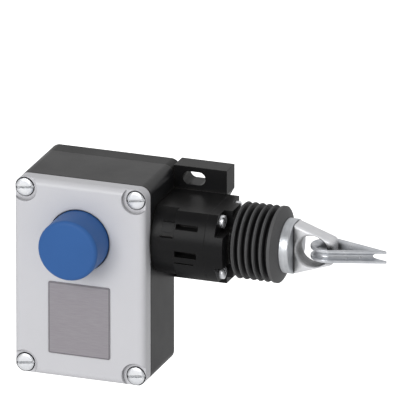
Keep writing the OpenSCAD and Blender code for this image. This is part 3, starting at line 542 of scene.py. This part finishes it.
# %% Cast, turn and plate the metals
# Painted shade darkens the screw slots, the thimble's corners, and most of all the hole of the eye.
ZINC = metal_material("bright_zinc", "f0f1f3", "e2e4e8", rough=0.44, painted_shade=0.7, shade_reach=1.5)
WORN_ZINC = metal_material(
    "rope_worn_zinc", "d2d4d8", "c0c3c8", rough=0.3, painted_shade=0.4, shade_reach=3.0, metallic=0.8)
TURNED = metal_material("turned_steel", "cfd1d4", "c2c5c9", rough=0.4, lathe=True)
FORGED = metal_material(
    "forged_zinc", "eeeef0", "e4e5e8", rough=0.45, height=0.04, forged=1.3, painted_shade=2.2, shade_reach=12.0,
    metallic=0.4)
SPRING_WIRE = metal_material("spring_wire", "a9adb2", "8f949a", rough=0.3)
BLACK_STEEL = metal_material("blackened_steel", "4a4b4e", "3b3c40", rough=0.38)
BRONZE = metal_material("sinter_bronze", "b0895a", "99744a", rough=0.42, height=0.03, forged=0.25)
BRASS = metal_material("terminal_brass", "c9a95e", "b8954c", rough=0.3)
COPPER = metal_material("contact_copper", "c98b6b", "b87456", rough=0.32)
print("metals ready")

# %% [markdown]
# ## A brushed label
# The label plate is a bare grey film plate: fine streaks across its width, with a thin darker
# line of painted shade just inside its edge, standing for the shadow gap round the plate. The
# line is found from the distance to the plate's own edge, so it fits the plate whatever its size.

# %% Make the label's finish
SHADE_LINE_INSET = 0.45 * MM
SHADE_LINE_CORE, SHADE_LINE_HALF_WIDTH = 0.15 * MM, 0.35 * MM
PALE_STREAK, DARK_STREAK, SHADE_LINE_GREY = paint("9c989d"), paint("918c92"), paint("5e5c61")


def label_material(low, high):
    material, tree, shader = start_material("brushed_label")
    place = object_place(tree)
    at = parts_of(tree, place)
    middle, half = (low + high) / 2, (high - low) / 2
    inward = [minus(tree, half[index], calc(tree, "ABSOLUTE", minus(tree, at[letter], middle[index])))
              for letter, index in (("X", 0), ("Z", 2))]
    # Painted shade: a thin dark line just inside the plate's edge.
    from_line = calc(tree, "ABSOLUTE", minus(tree, calc(tree, "MINIMUM", *inward), SHADE_LINE_INSET))
    line = spread(tree, from_line, SHADE_LINE_CORE, SHADE_LINE_HALF_WIDTH, 1.0, 0.0)
    streaks = add(tree, "ShaderNodeMapping", {"Vector": place, "Scale": (0.03, 1.0, 1.0)}).outputs[0]
    brushed = noise(tree, streaks, 5200.0, 3.0)
    tone = mix_colour(tree, spread(tree, brushed, 0.35, 0.65), DARK_STREAK, PALE_STREAK)
    feed(tree, shader.inputs["Base Color"], mix_colour(tree, times(tree, line, 0.75), tone, SHADE_LINE_GREY))
    feed(tree, shader.inputs["Roughness"], spread(tree, brushed, 0.3, 0.7, 0.36, 0.5))
    bump(tree, shader, Strength=0.3, Distance=0.01 * MM, Height=brushed)
    return material


LABEL = label_material(*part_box("label_plate"))
print("label finish ready")

# %% [markdown]
# ## A finish for every solid
# The record names a finish slot for each solid. One table turns slots into the materials
# above, so every solid, seen or hidden, gets a worked finish, and the screws deep inside
# look right when the cover is taken away.

# %% Give the finishes to the solids
FINISHES = {
    "body_black": BASE_COAT, "cover_grey": COVER_COAT, "label_grey": LABEL, "head_black": HEAD_COAT,
    "bellows_rubber": BELLOWS_RUBBER, "seal_rubber": SEAL_RUBBER, "button_blue": BUTTON_BLUE,
    "zinc_steel": ZINC, "turned_steel": TURNED, "spring_steel": SPRING_WIRE, "dark_steel": BLACK_STEEL,
    "forged_steel": FORGED, "bronze": BRONZE, "brass": BRASS, "copper": COPPER,
    "white_plastic": CONTACT_PLASTIC, "red_plastic": SIGNAL_RED,
}
SLOT_OF = {part["node"]: part["material_slot"] for part in frame["record"]["subparts"]}
for name, solid in NODES.items():
    for place in solid.material_slots:
        place.material = FINISHES[SLOT_OF[name]]
print("finished", len(NODES), "solids with", len(set(SLOT_OF.values())), "finishes")

# %% [markdown]
# ## Clean castings and soft mouldings
# A solid that was made for measuring comes as loose triangles with no edge rounded. A merged
# copy can be shaded well: hard edges are kept, and normals are weighted by face area, so a
# flat face stays flat in a reflection. Where edges have room, a small real bevel rounds them,
# as on the button and the plate. On the crowded castings a bevel would fold over itself, so
# they stay crisp and the finish rounds their edges in the light. The cover is left alone: its
# front edge is already round in the solid.

# %% Helpers: pieces that stand for solids
def new_piece(name, mesh=None):
    piece = bpy.data.objects.new(name, mesh or bpy.data.meshes.new(name))
    bpy.context.scene.collection.objects.link(piece)
    return piece


def settled_mesh(piece):
    """The mesh that a piece's modifiers make of it. The piece itself is cleared away."""
    result = piece.evaluated_get(bpy.context.evaluated_depsgraph_get())
    mesh = bpy.data.meshes.new_from_object(result)
    bpy.data.objects.remove(piece)
    return mesh


def stand_for(node, mesh, finish=None):
    """Puts a finished mesh on the body of the solid that it stands for."""
    if finish:
        mesh.materials.clear()
        mesh.materials.append(finish)
    piece = new_piece(node + "_finished", mesh)
    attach(piece, NODES[node]["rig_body"])
    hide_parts(node)
    print(node, "faces", len(mesh.polygons))


# %% A merged copy with clean shading
HARD_EDGE = radians(24)
SAME_POINT = 0.002 * MM


def merged_form(node):
    form = bmesh.new()
    form.from_mesh(NODES[node].data)
    bmesh.ops.remove_doubles(form, verts=form.verts, dist=SAME_POINT)
    return form


def clean_copy(node, bevel_width=0.0, form=None):
    form = form or merged_form(node)
    hard = form.edges.layers.float.new("bevel_weight_edge")
    for edge in form.edges:
        if edge.calc_face_angle(0.0) > HARD_EDGE:
            edge[hard] = 1.0
    mesh = bpy.data.meshes.new(node + "_clean")
    form.to_mesh(mesh)
    form.free()
    for stored in ("custom_normal", "sharp_edge", "sharp_face"):
        if stored in mesh.attributes:
            mesh.attributes.remove(mesh.attributes[stored])
    mesh.shade_smooth()
    rough = new_piece(node + "_rough", mesh)
    if bevel_width:
        bevel = rough.modifiers.new("edge", "BEVEL")
        bevel.limit_method, bevel.width, bevel.segments = "WEIGHT", bevel_width * MM, 2
    else:
        mesh.set_sharp_from_angle(angle=HARD_EDGE)
    flatten = rough.modifiers.new("flatten", "WEIGHTED_NORMAL")
    flatten.weight, flatten.keep_sharp = 100, True
    stand_for(node, settled_mesh(rough), FINISHES[SLOT_OF[node]])


# %% The base, planed flush at its corners
CORNER_RADIUS = 5.6 * MM


def planed_base():
    """A screw boss fills one round corner a hair too far, so what stands out there is planed off."""
    form = merged_form("base_housing")
    low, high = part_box("base_housing")
    for vert in form.verts:
        hub = Vector((min(max(vert.co.x, low.x + CORNER_RADIUS), high.x - CORNER_RADIUS), vert.co.y,
                      min(max(vert.co.z, low.z + CORNER_RADIUS), high.z - CORNER_RADIUS)))
        out = vert.co - hub
        if out.length > CORNER_RADIUS:
            vert.co = hub + out * (CORNER_RADIUS / out.length)
    return form


clean_copy("base_housing", form=planed_base())

# %% The head and the mouldings
for node in ("head_casting", "head_flange", "contact_carrier"):
    clean_copy(node)
for node, bevel_width in (
        ("reset_button", 0.25), ("label_plate", 0.12), ("contact_block", 0.2), ("end_disc", 0.2)):
    clean_copy(node, bevel_width)


# %% [markdown]
# ## The forged eye and the thimble
# Neither was ever cut to a sharp edge: the eye was forged hot, and the thimble was rolled from
# strip and dipped in zinc. A bevel needs clean edges to follow, and here holes run into slanted
# sides. So the solid is wrapped in an even skin of small squares, and a few rounds of smoothing
# wear every edge down by the same amount, wherever it runs.

# %% Wear the forgings round
def worn_copy(node, square, rounds, finish):
    rough = new_piece(node + "_rough", NODES[node].data.copy())
    skin = rough.modifiers.new("skin", "REMESH")
    skin.mode, skin.voxel_size, skin.use_smooth_shade = "VOXEL", square * MM, True
    worn = rough.modifiers.new("worn", "SMOOTH")
    worn.factor, worn.iterations = 0.5, rounds
    stand_for(node, settled_mesh(rough), finish)


worn_copy("eyelet", 0.3, 8, FORGED)
worn_copy("rope_thimble", 0.25, 5, WORN_ZINC)

# %% [markdown]
# ## Slotted screws
# Every screw here is a cheese head with a slot, a shank and a rolled thread, in six sizes. One
# geometry tree makes the screw from its sizes and sets one on each given point, each turned a
# little differently, as a hand leaves them. The points come from the solids, screw by screw.

# %% Helpers: grow a mesh with a geometry tree
def grow(name, tree, seed=None, **values):
    """Runs the tree on a seed mesh, with Head_Radius for its input Head Radius, and so on."""
    piece = new_piece(name + "_seed", seed)
    grower = piece.modifiers.new(tree.name, "NODES")
    grower.node_group = tree
    for item in tree.interface.items_tree:
        label = item.name.replace(" ", "_")
        if item.item_type == "SOCKET" and item.in_out == "INPUT" and label in values:
            grower[item.identifier] = values[label]
    return settled_mesh(piece)


def moved(tree, geometry, offset, **more):
    return add(tree, "GeometryNodeTransform", {
        "Geometry": geometry, "Translation": offset, **more}).outputs[0]


def coil(tree, turns, radius, height, wire, steps, sides):
    """Wire wound upwards round Z, with its ends closed."""
    path = add(tree, "GeometryNodeCurveSpiral", {
        "Resolution": steps, "Rotations": turns, "Start Radius": radius, "End Radius": radius,
        "Height": height}).outputs[0]
    section = add(tree, "GeometryNodeCurvePrimitiveCircle", {
        "Resolution": sides, "Radius": wire}, mode="RADIUS").outputs[0]
    return add(tree, "GeometryNodeCurveToMesh", {
        "Curve": path, "Profile Curve": section, "Fill Caps": True}).outputs[0]


def end_tree(tree, made, geometry, finish):
    """The end of every tree: copies become real, and the result gets its finish."""
    real = add(tree, "GeometryNodeRealizeInstances", {"Geometry": geometry})
    finished = add(tree, "GeometryNodeSetMaterial", {"Geometry": real.outputs[0], "Material": finish})
    feed(tree, made["Geometry"], finished.outputs[0])


def soften(mesh, hard_angle):
    mesh.shade_smooth()
    mesh.set_sharp_from_angle(angle=radians(hard_angle))
    return mesh


print("tree helpers ready")

# %% Geometry: a slotted head
RIM_FALL_POWER = 7.0


def slotted_head(tree, given):
    """The rim falls off towards the edge, and a countersunk head draws in below."""
    blank = add(tree, "GeometryNodeMeshCylinder", {
        "Vertices": 48, "Side Segments": 5, "Fill Segments": 8,
        "Radius": given["Head Radius"], "Depth": given["Head Height"]}, fill_type="TRIANGLE_FAN")
    half = times(tree, given["Head Height"], 0.5)
    at = parts_of(tree, add(tree, "GeometryNodeInputPosition").outputs[0])
    across = over(tree, diagonal(tree, at["X"], at["Y"]), given["Head Radius"])
    fall = times(tree, calc(tree, "POWER", across, RIM_FALL_POWER), given["Rim"])
    fall = times(tree, fall, spread(tree, at["Z"], 0.0, half))
    depth = spread(tree, at["Z"], times(tree, half, -1.0), half, 1.0, 0.0)
    shrink = times(tree, times(tree, depth, given["Countersink"]), -1.0)
    shift = vector(tree, X=times(tree, at["X"], shrink), Y=times(tree, at["Y"], shrink),
                   Z=minus(tree, half, fall))
    crowned = add(tree, "GeometryNodeSetPosition", {"Geometry": blank.outputs["Mesh"], "Offset": shift})
    size = vector(tree, X=times(tree, given["Head Radius"], 3.0), Y=given["Slot Width"],
                  Z=times(tree, given["Slot Depth"], 2.0))
    cutter = add(tree, "GeometryNodeMeshCube", {"Size": size}).outputs["Mesh"]
    return add(tree, "GeometryNodeMeshBoolean", {
        "Mesh 1": crowned.outputs[0], "Mesh 2": moved(tree, cutter, vector(tree, Z=given["Head Height"]))},
        operation="DIFFERENCE").outputs[0]


# %% Geometry: a threaded shank
CORE_SHARE, RIDGE_SHARE, RIDGE_HEIGHT_SHARE = 0.88, 0.9, 0.1


def threaded_shank(tree, given):
    """A core and the ridge that winds down it, as two meshes below Z 0."""
    radius, whole, pitch = given["Shank Radius"], given["Shank Length"], given["Pitch"]
    core = add(tree, "GeometryNodeMeshCylinder", {
        "Vertices": 32, "Radius": times(tree, radius, CORE_SHARE), "Depth": whole}).outputs["Mesh"]
    core = moved(tree, core, vector(tree, Z=times(tree, whole, -0.5)))
    length = calc(tree, "MAXIMUM", minus(tree, whole, pitch), 0.0)
    ridge = coil(tree, over(tree, length, pitch), times(tree, radius, RIDGE_SHARE), length,
                 times(tree, radius, RIDGE_HEIGHT_SHARE), steps=24, sides=4)
    drop = times(tree, plus(tree, length, times(tree, pitch, 0.5)), -1.0)
    return core, moved(tree, ridge, vector(tree, Z=drop))


# %% Geometry tree: slotted screws on points
LOOSE_TURN, TURN_SEED = 0.07, 0


def slotted_screw_tree():
    tree, given, made = new_group(
        "slotted_screws", "GeometryNodeTree",
        {"Geometry": ("Geometry", None), "Head Radius": ("Float", 5 * MM), "Head Height": ("Float", 3.9 * MM),
         "Rim": ("Float", 0.7 * MM), "Slot Width": ("Float", 1.2 * MM), "Slot Depth": ("Float", 1.6 * MM),
         "Shank Radius": ("Float", 3 * MM), "Shank Length": ("Float", 20 * MM), "Pitch": ("Float", 1 * MM),
         "Countersink": ("Float", 0.0), "Slot Turn": ("Float", 0.07), "Tilt": ("Vector", (0, 0, 0)),
         "Metal": ("Material", None)},
        {"Geometry": "Geometry"})
    screw = add(tree, "GeometryNodeJoinGeometry")
    for part in (slotted_head(tree, given), *threaded_shank(tree, given)):
        tree.links.new(part, screw.inputs[0])
    spots = add(tree, "GeometryNodeMeshToPoints", {"Mesh": given["Geometry"]})
    placed = add(tree, "GeometryNodeInstanceOnPoints", {
        "Points": spots.outputs[0], "Instance": screw.outputs[0], "Rotation": given["Tilt"]})
    chance = add(tree, "FunctionNodeRandomValue", {
        2: -LOOSE_TURN, 3: LOOSE_TURN, "Seed": TURN_SEED}, data_type="FLOAT")
    turn = vector(tree, Z=plus(tree, chance.outputs[1], given["Slot Turn"]))
    turned = add(tree, "GeometryNodeRotateInstances", {"Instances": placed.outputs[0], "Rotation": turn})
    end_tree(tree, made, turned.outputs[0], given["Metal"])
    return tree


SLOTTED_SCREWS = slotted_screw_tree()
print("tree", SLOTTED_SCREWS.name)

# %% Find each screw
def single_boxes(node):
    """The lowest and highest corner of each separate solid of a node, in the order of its points."""
    form, boxes, found = merged_form(node), [], set()
    for first in form.verts:
        if first in found:
            continue
        found.add(first)
        group = [first]
        # The list grows while it is walked, until all of one solid is in it.
        for vert in group:
            for near in (edge.other_vert(vert) for edge in vert.link_edges):
                if near not in found:
                    found.add(near)
                    group.append(near)
        boxes.append([Vector([pick(v.co[i] for v in group) for i in range(3)]) for pick in (min, max)])
    form.free()
    return boxes


print("cover screws", len(single_boxes("cover_screws")))

# %% Fit the screws
# For each way that a head can face: the axis, which end of the solid it is, and the screw's tilt.
HEAD_FACES = {"-Y": (1, -1, (pi / 2, 0, 0)), "+Y": (1, 1, (-pi / 2, 0, 0)), "+X": (0, 1, (0, pi / 2, 0))}
RIM_SHARE, SLOT_DEPTH_SHARE = 0.12, 0.4
SHORTEST_SHANK = 0.2


def fit_screws(node, facing, head_radius, head_height, shank_radius, slot_width, turn, pitch=0.8, sunk=0.0):
    """Screws whose heads face one way, at that end of each separate solid, in millimetres."""
    axis, side, tilt = HEAD_FACES[facing]
    seats, length = [], 0
    for low, high in single_boxes(node):
        seat = (low + high) / 2
        seat[axis] = (high if side > 0 else low)[axis] - side * head_height * MM
        length = (high - low)[axis] / MM - head_height
        seats.append(seat)
    points = bpy.data.meshes.new(node + "_seats")
    points.from_pydata(seats, [], [])
    sizes = {"Head_Radius": head_radius, "Head_Height": head_height, "Rim": head_radius * RIM_SHARE,
             "Slot_Width": slot_width, "Slot_Depth": head_height * SLOT_DEPTH_SHARE,
             "Shank_Radius": shank_radius, "Shank_Length": max(length, SHORTEST_SHANK), "Pitch": pitch}
    mesh = grow(node, SLOTTED_SCREWS, points, Countersink=sunk, Slot_Turn=turn, Tilt=tilt,
                Metal=FINISHES[SLOT_OF[node]], **{name: size * MM for name, size in sizes.items()})
    stand_for(node, soften(mesh, 40))


fit_screws("cover_screws", "-Y", head_radius=4.95, head_height=3.9, shank_radius=3.0, slot_width=1.4,
           turn=0.07, pitch=1.0)
fit_screws("head_screws", "+X", head_radius=3.5, head_height=2.6, shank_radius=2.0, slot_width=1.0, turn=0.6)
fit_screws("base_screws", "+Y", head_radius=3.95, head_height=2.0, shank_radius=2.0, slot_width=1.0,
           turn=0.4, sunk=0.48)
fit_screws("block_screws", "-Y", head_radius=2.6, head_height=2.0, shank_radius=1.7, slot_width=0.8,
           turn=0.9, pitch=0.6)
fit_screws("earth_screw", "-Y", head_radius=3.6, head_height=2.6, shank_radius=2.0, slot_width=1.0, turn=1.2)
fit_screws("terminal_screws", "-Y", head_radius=2.85, head_height=2.2, shank_radius=1.2, slot_width=0.8,
           turn=-0.3, pitch=0.5)


# %% [markdown]
# ## The bellows
# The bellows is one rubber tube that swells into a rib every few millimetres and ends in a
# cone glued to the disc. Its radius is a rule along its length, so Geometry Nodes can shape
# a flat grid into it: one side of the grid runs along the axis, the other goes round. A few
# named inputs set the ribs, and a wall is added to the inside.

# %% Geometry: the outline of the bellows
def bellows_radius(tree, given, x):
    """At each place along the axis, the least of the cuff, the ribs and the cone."""
    last_rib = plus(tree, given["First Rib"], times(tree, given["Ribs"], given["Pitch"]))
    held = calc(tree, "MINIMUM", calc(tree, "MAXIMUM", x, given["First Rib"]), last_rib)
    turn = times(tree, over(tree, minus(tree, held, given["First Rib"]), given["Pitch"]), 2 * pi)
    swell = plus(tree, times(tree, calc(tree, "COSINE", turn), 0.5), 0.5)
    swell = calc(tree, "POWER", swell, given["Crest Sharpness"])
    ribs = spread(tree, swell, 0.0, 1.0, given["Groove Radius"], given["Crest Radius"])
    collar_end = plus(tree, last_rib, given["Collar"])
    cone = spread(tree, x, collar_end, given["End"], given["Crest Radius"], given["End Radius"])
    cuff_end = minus(tree, given["First Rib"], times(tree, given["Pitch"], 0.45))
    cuff = spread(tree, x, cuff_end, given["First Rib"], given["Cuff Radius"], given["Crest Radius"])
    return calc(tree, "MINIMUM", calc(tree, "MINIMUM", ribs, cone), cuff)


# %% Geometry tree: a ribbed tube
def ribbed_tube_tree():
    tree, given, made = new_group(
        "ribbed_tube", "GeometryNodeTree",
        {"Geometry": ("Geometry", None),
         "Cuff Start": ("Float", 81.2 * MM), "Cuff Radius": ("Float", 17.5 * MM),
         "First Rib": ("Float", 83.2 * MM), "Ribs": ("Int", 5), "Pitch": ("Float", 4 * MM),
         "Crest Radius": ("Float", 21 * MM), "Groove Radius": ("Float", 16.6 * MM),
         "Crest Sharpness": ("Float", 1.7), "Collar": ("Float", 1.6 * MM),
         "End": ("Float", 107.6 * MM), "End Radius": ("Float", 15 * MM),
         "Axis Y": ("Float", PULL_AXIS_Y), "Rows": ("Int", 180), "Columns": ("Int", 112),
         "Rubber": ("Material", None)},
        {"Geometry": "Geometry"})
    columns = plus(tree, given["Columns"], 1.0)
    grid = add(tree, "GeometryNodeMeshGrid", {"Vertices X": given["Rows"], "Vertices Y": columns})
    number = add(tree, "GeometryNodeInputIndex").outputs[0]
    row = calc(tree, "FLOOR", over(tree, plus(tree, number, 0.5), columns))
    column = minus(tree, number, times(tree, row, columns))
    along = over(tree, row, minus(tree, given["Rows"], 1.0))
    x = spread(tree, along, 0.0, 1.0, given["Cuff Start"], given["End"])
    radius = bellows_radius(tree, given, x)
    angle = times(tree, over(tree, column, given["Columns"]), 2 * pi)
    y = plus(tree, given["Axis Y"], times(tree, radius, calc(tree, "COSINE", angle)))
    point = vector(tree, X=x, Y=y, Z=times(tree, radius, calc(tree, "SINE", angle)))
    shaped = add(tree, "GeometryNodeSetPosition", {"Geometry": grid.outputs["Mesh"], "Position": point})
    closed = add(tree, "GeometryNodeMergeByDistance", {
        "Geometry": shaped.outputs[0], "Distance": 0.001 * MM})
    end_tree(tree, made, closed.outputs[0], given["Rubber"])
    return tree


# %% Grow the tube and turn its faces outwards
def from_axis(point):
    """The way from the pull axis straight out to a point."""
    return Vector((0, point.y - PULL_AXIS_Y, point.z - PULL_AXIS_Z))


bellows_low, bellows_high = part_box("bellows")
bellows_tube = grow("bellows", ribbed_tube_tree(), Cuff_Start=bellows_low.x, End=bellows_high.x,
                    Crest_Radius=bellows_high.z, Rubber=BELLOWS_RUBBER)
form = bmesh.new()
form.from_mesh(bellows_tube)
bmesh.ops.recalc_face_normals(form, faces=form.faces)
outermost = max(form.faces, key=lambda face: from_axis(face.calc_center_median()).length)
if outermost.normal.dot(from_axis(outermost.calc_center_median())) < 0:
    bmesh.ops.reverse_faces(form, faces=form.faces)
print("tube faces", len(form.faces))

# %% Close the cone onto the rod and give the tube its wall
HUB_RADIUS = 7.02 * MM
RUBBER_WALL = 1.1 * MM
END_WITHIN = 0.01 * MM

rim = [edge for edge in form.edges if edge.is_boundary and edge.verts[0].co.x > bellows_high.x - END_WITHIN]
for part in bmesh.ops.extrude_edge_only(form, edges=rim)["geom"]:
    if isinstance(part, bmesh.types.BMVert):
        centre = Vector((bellows_high.x, PULL_AXIS_Y, PULL_AXIS_Z))
        part.co = centre + from_axis(part.co).normalized() * HUB_RADIUS
form.to_mesh(bellows_tube)
form.free()
thin_tube = new_piece("thin_tube", bellows_tube)
wall = thin_tube.modifiers.new("wall", "SOLIDIFY")
wall.thickness, wall.offset, wall.use_even_offset = RUBBER_WALL, -1.0, False
bellows = new_piece("bellows_sleeve", soften(settled_mesh(thin_tube), 50))
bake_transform(bellows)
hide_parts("bellows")
print("bellows faces", len(bellows.data.polygons))

# %% [markdown]
# ## Coil springs
# A spring is a wire that follows a helix, so a spiral curve with a round section is all it
# takes. The three springs differ only in turns, radius, wire and axis, which are the inputs
# of one tree. In the switch each has one end on a moving piece and one on the body.

# %% Geometry tree: a coil of wire
def wire_coil_tree():
    tree, given, made = new_group(
        "wire_coil", "GeometryNodeTree",
        {"Geometry": ("Geometry", None), "Turns": ("Float", 4.0), "Mean Radius": ("Float", 10 * MM),
         "Wire Radius": ("Float", 1 * MM), "Length": ("Float", 25 * MM), "Tilt": ("Vector", (0, 0, 0)),
         "Start": ("Vector", (0, 0, 0)), "Wire": ("Material", None)},
        {"Geometry": "Geometry"})
    rise = minus(tree, given["Length"], times(tree, given["Wire Radius"], 2.0))
    wire = coil(tree, given["Turns"], given["Mean Radius"], rise, given["Wire Radius"], steps=40, sides=14)
    lifted = moved(tree, wire, vector(tree, Z=given["Wire Radius"]))
    turned = moved(tree, lifted, given["Start"], Rotation=given["Tilt"])
    end_tree(tree, made, turned, given["Wire"])
    return tree


WIRE_COIL = wire_coil_tree()
print("tree", WIRE_COIL.name)

# %% Wind the springs
# For each axis that a coil can follow: its number, a number across it, and the coil's tilt.
COIL_AXES = {"X": (0, 1, (0, pi / 2, 0)), "Y": (1, 0, (-pi / 2, 0, 0)), "Z": (2, 0, (0, 0, 0))}


def wind_spring(node, wire_radius, turns, along):
    """A coil that fills the box of the solid that it stands for."""
    low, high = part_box(node)
    axis, across, tilt = COIL_AXES[along]
    start, end = (low + high) / 2, (low + high) / 2
    start[axis], end[axis] = low[axis], high[axis]
    wire = wire_radius * MM
    mesh = grow(node, WIRE_COIL, Turns=turns, Mean_Radius=(high - low)[across] / 2 - wire, Wire_Radius=wire,
                Length=(high - low)[axis], Tilt=tilt, Start=start, Wire=SPRING_WIRE)
    spring = new_piece(node + "_coil", soften(mesh, 50))
    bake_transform(spring)
    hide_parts(node)
    print(node, "faces", len(mesh.polygons))


wind_spring("tension_spring", wire_radius=1.15, turns=4.0, along="X")
wind_spring("reset_spring", wire_radius=0.6, turns=3.0, along="Y")
wind_spring("plunger_spring", wire_radius=0.4, turns=3.0, along="Z")

# %% [markdown]
# ## Floor, backdrop and light
# The device is shown in the air in front of white. A white floor lies well below it, so its
# shadow falls outside the view, and the world looks white to the camera and in mirrors while
# it lights the parts with much less. Three soft lamps add the form: a broad one from the
# upper left, a weaker one from the right and one from above.

# %% Lay the floor
FLOOR_SIZE, FLOOR_BELOW = 3.0, 0.2
FLOOR_IN_MIRRORS = 0.2


def ray_marks(tree):
    """Two marks: 1 for rays that show the backdrop itself, and 1 for those that mirror it."""
    rays = add(tree, "ShaderNodeLightPath").outputs
    return rays["Is Camera Ray"], calc(tree, "MAXIMUM", rays["Is Glossy Ray"], rays["Is Transmission Ray"])


floor_material, tree, shader = start_material("white_floor")
shader.inputs["Base Color"].default_value = (0.85, 0.85, 0.85, 1)
shader.inputs["Roughness"].default_value = 0.9
shader.inputs["Emission Color"].default_value = (1, 1, 1, 1)
seen, mirrored = ray_marks(tree)
feed(tree, shader.inputs["Emission Strength"], plus(tree, seen, times(tree, mirrored, FLOOR_IN_MIRRORS)))
form = bmesh.new()
bmesh.ops.create_grid(form, x_segments=2, y_segments=2, size=FLOOR_SIZE)
floor = new_piece("floor")
form.to_mesh(floor.data)
form.free()
floor.data.materials.append(floor_material)
floor.location = (0, 0, CAD_BOX[0][2] - FLOOR_BELOW)
print("floor laid", FLOOR_BELOW, "m below")

# %% Fill the room with white
ROOM_SOFT, ROOM_DIM, ROOM_BRIGHT = 0.45, 0.25, 0.8
DIM_UNTIL, BRIGHT_FROM = -0.45, 0.15

world = bpy.data.worlds.new("white_world")
world.use_nodes = True
bpy.context.scene.world = world
tree = world.node_tree
seen, mirrored = ray_marks(tree)
away = parts_of(tree, add(tree, "ShaderNodeTexCoord").outputs["Generated"])["Y"]
room = spread(tree, away, DIM_UNTIL, BRIGHT_FROM, ROOM_DIM, ROOM_BRIGHT)
mirror_part = times(tree, mirrored, minus(tree, room, ROOM_SOFT))
seen_part = times(tree, seen, 1.0 - ROOM_SOFT)
sky = tree.nodes["Background"].inputs
sky["Color"].default_value = (1, 1, 1, 1)
feed(tree, sky["Strength"], plus(tree, plus(tree, mirror_part, seen_part), ROOM_SOFT))
bpy.context.scene.view_settings.view_transform = "Standard"
print("room from", ROOM_DIM, "to", ROOM_BRIGHT)

# %% Hang the lamps
LAMP_DISTANCE = 1.6


def soft_lamp(name, azimuth, elevation, power, size):
    lamp = bpy.data.lights.new(name, "AREA")
    lamp.shape, lamp.size, lamp.energy = "SQUARE", size, power
    look_at_aim(name, lamp, azimuth, elevation, LAMP_DISTANCE)


soft_lamp("key", -14, 20, power=12.5, size=0.9)
soft_lamp("fill", 75, 12, power=1.5, size=0.8)
soft_lamp("top", 10, 82, power=1.0, size=0.9)
print("lamps hung")
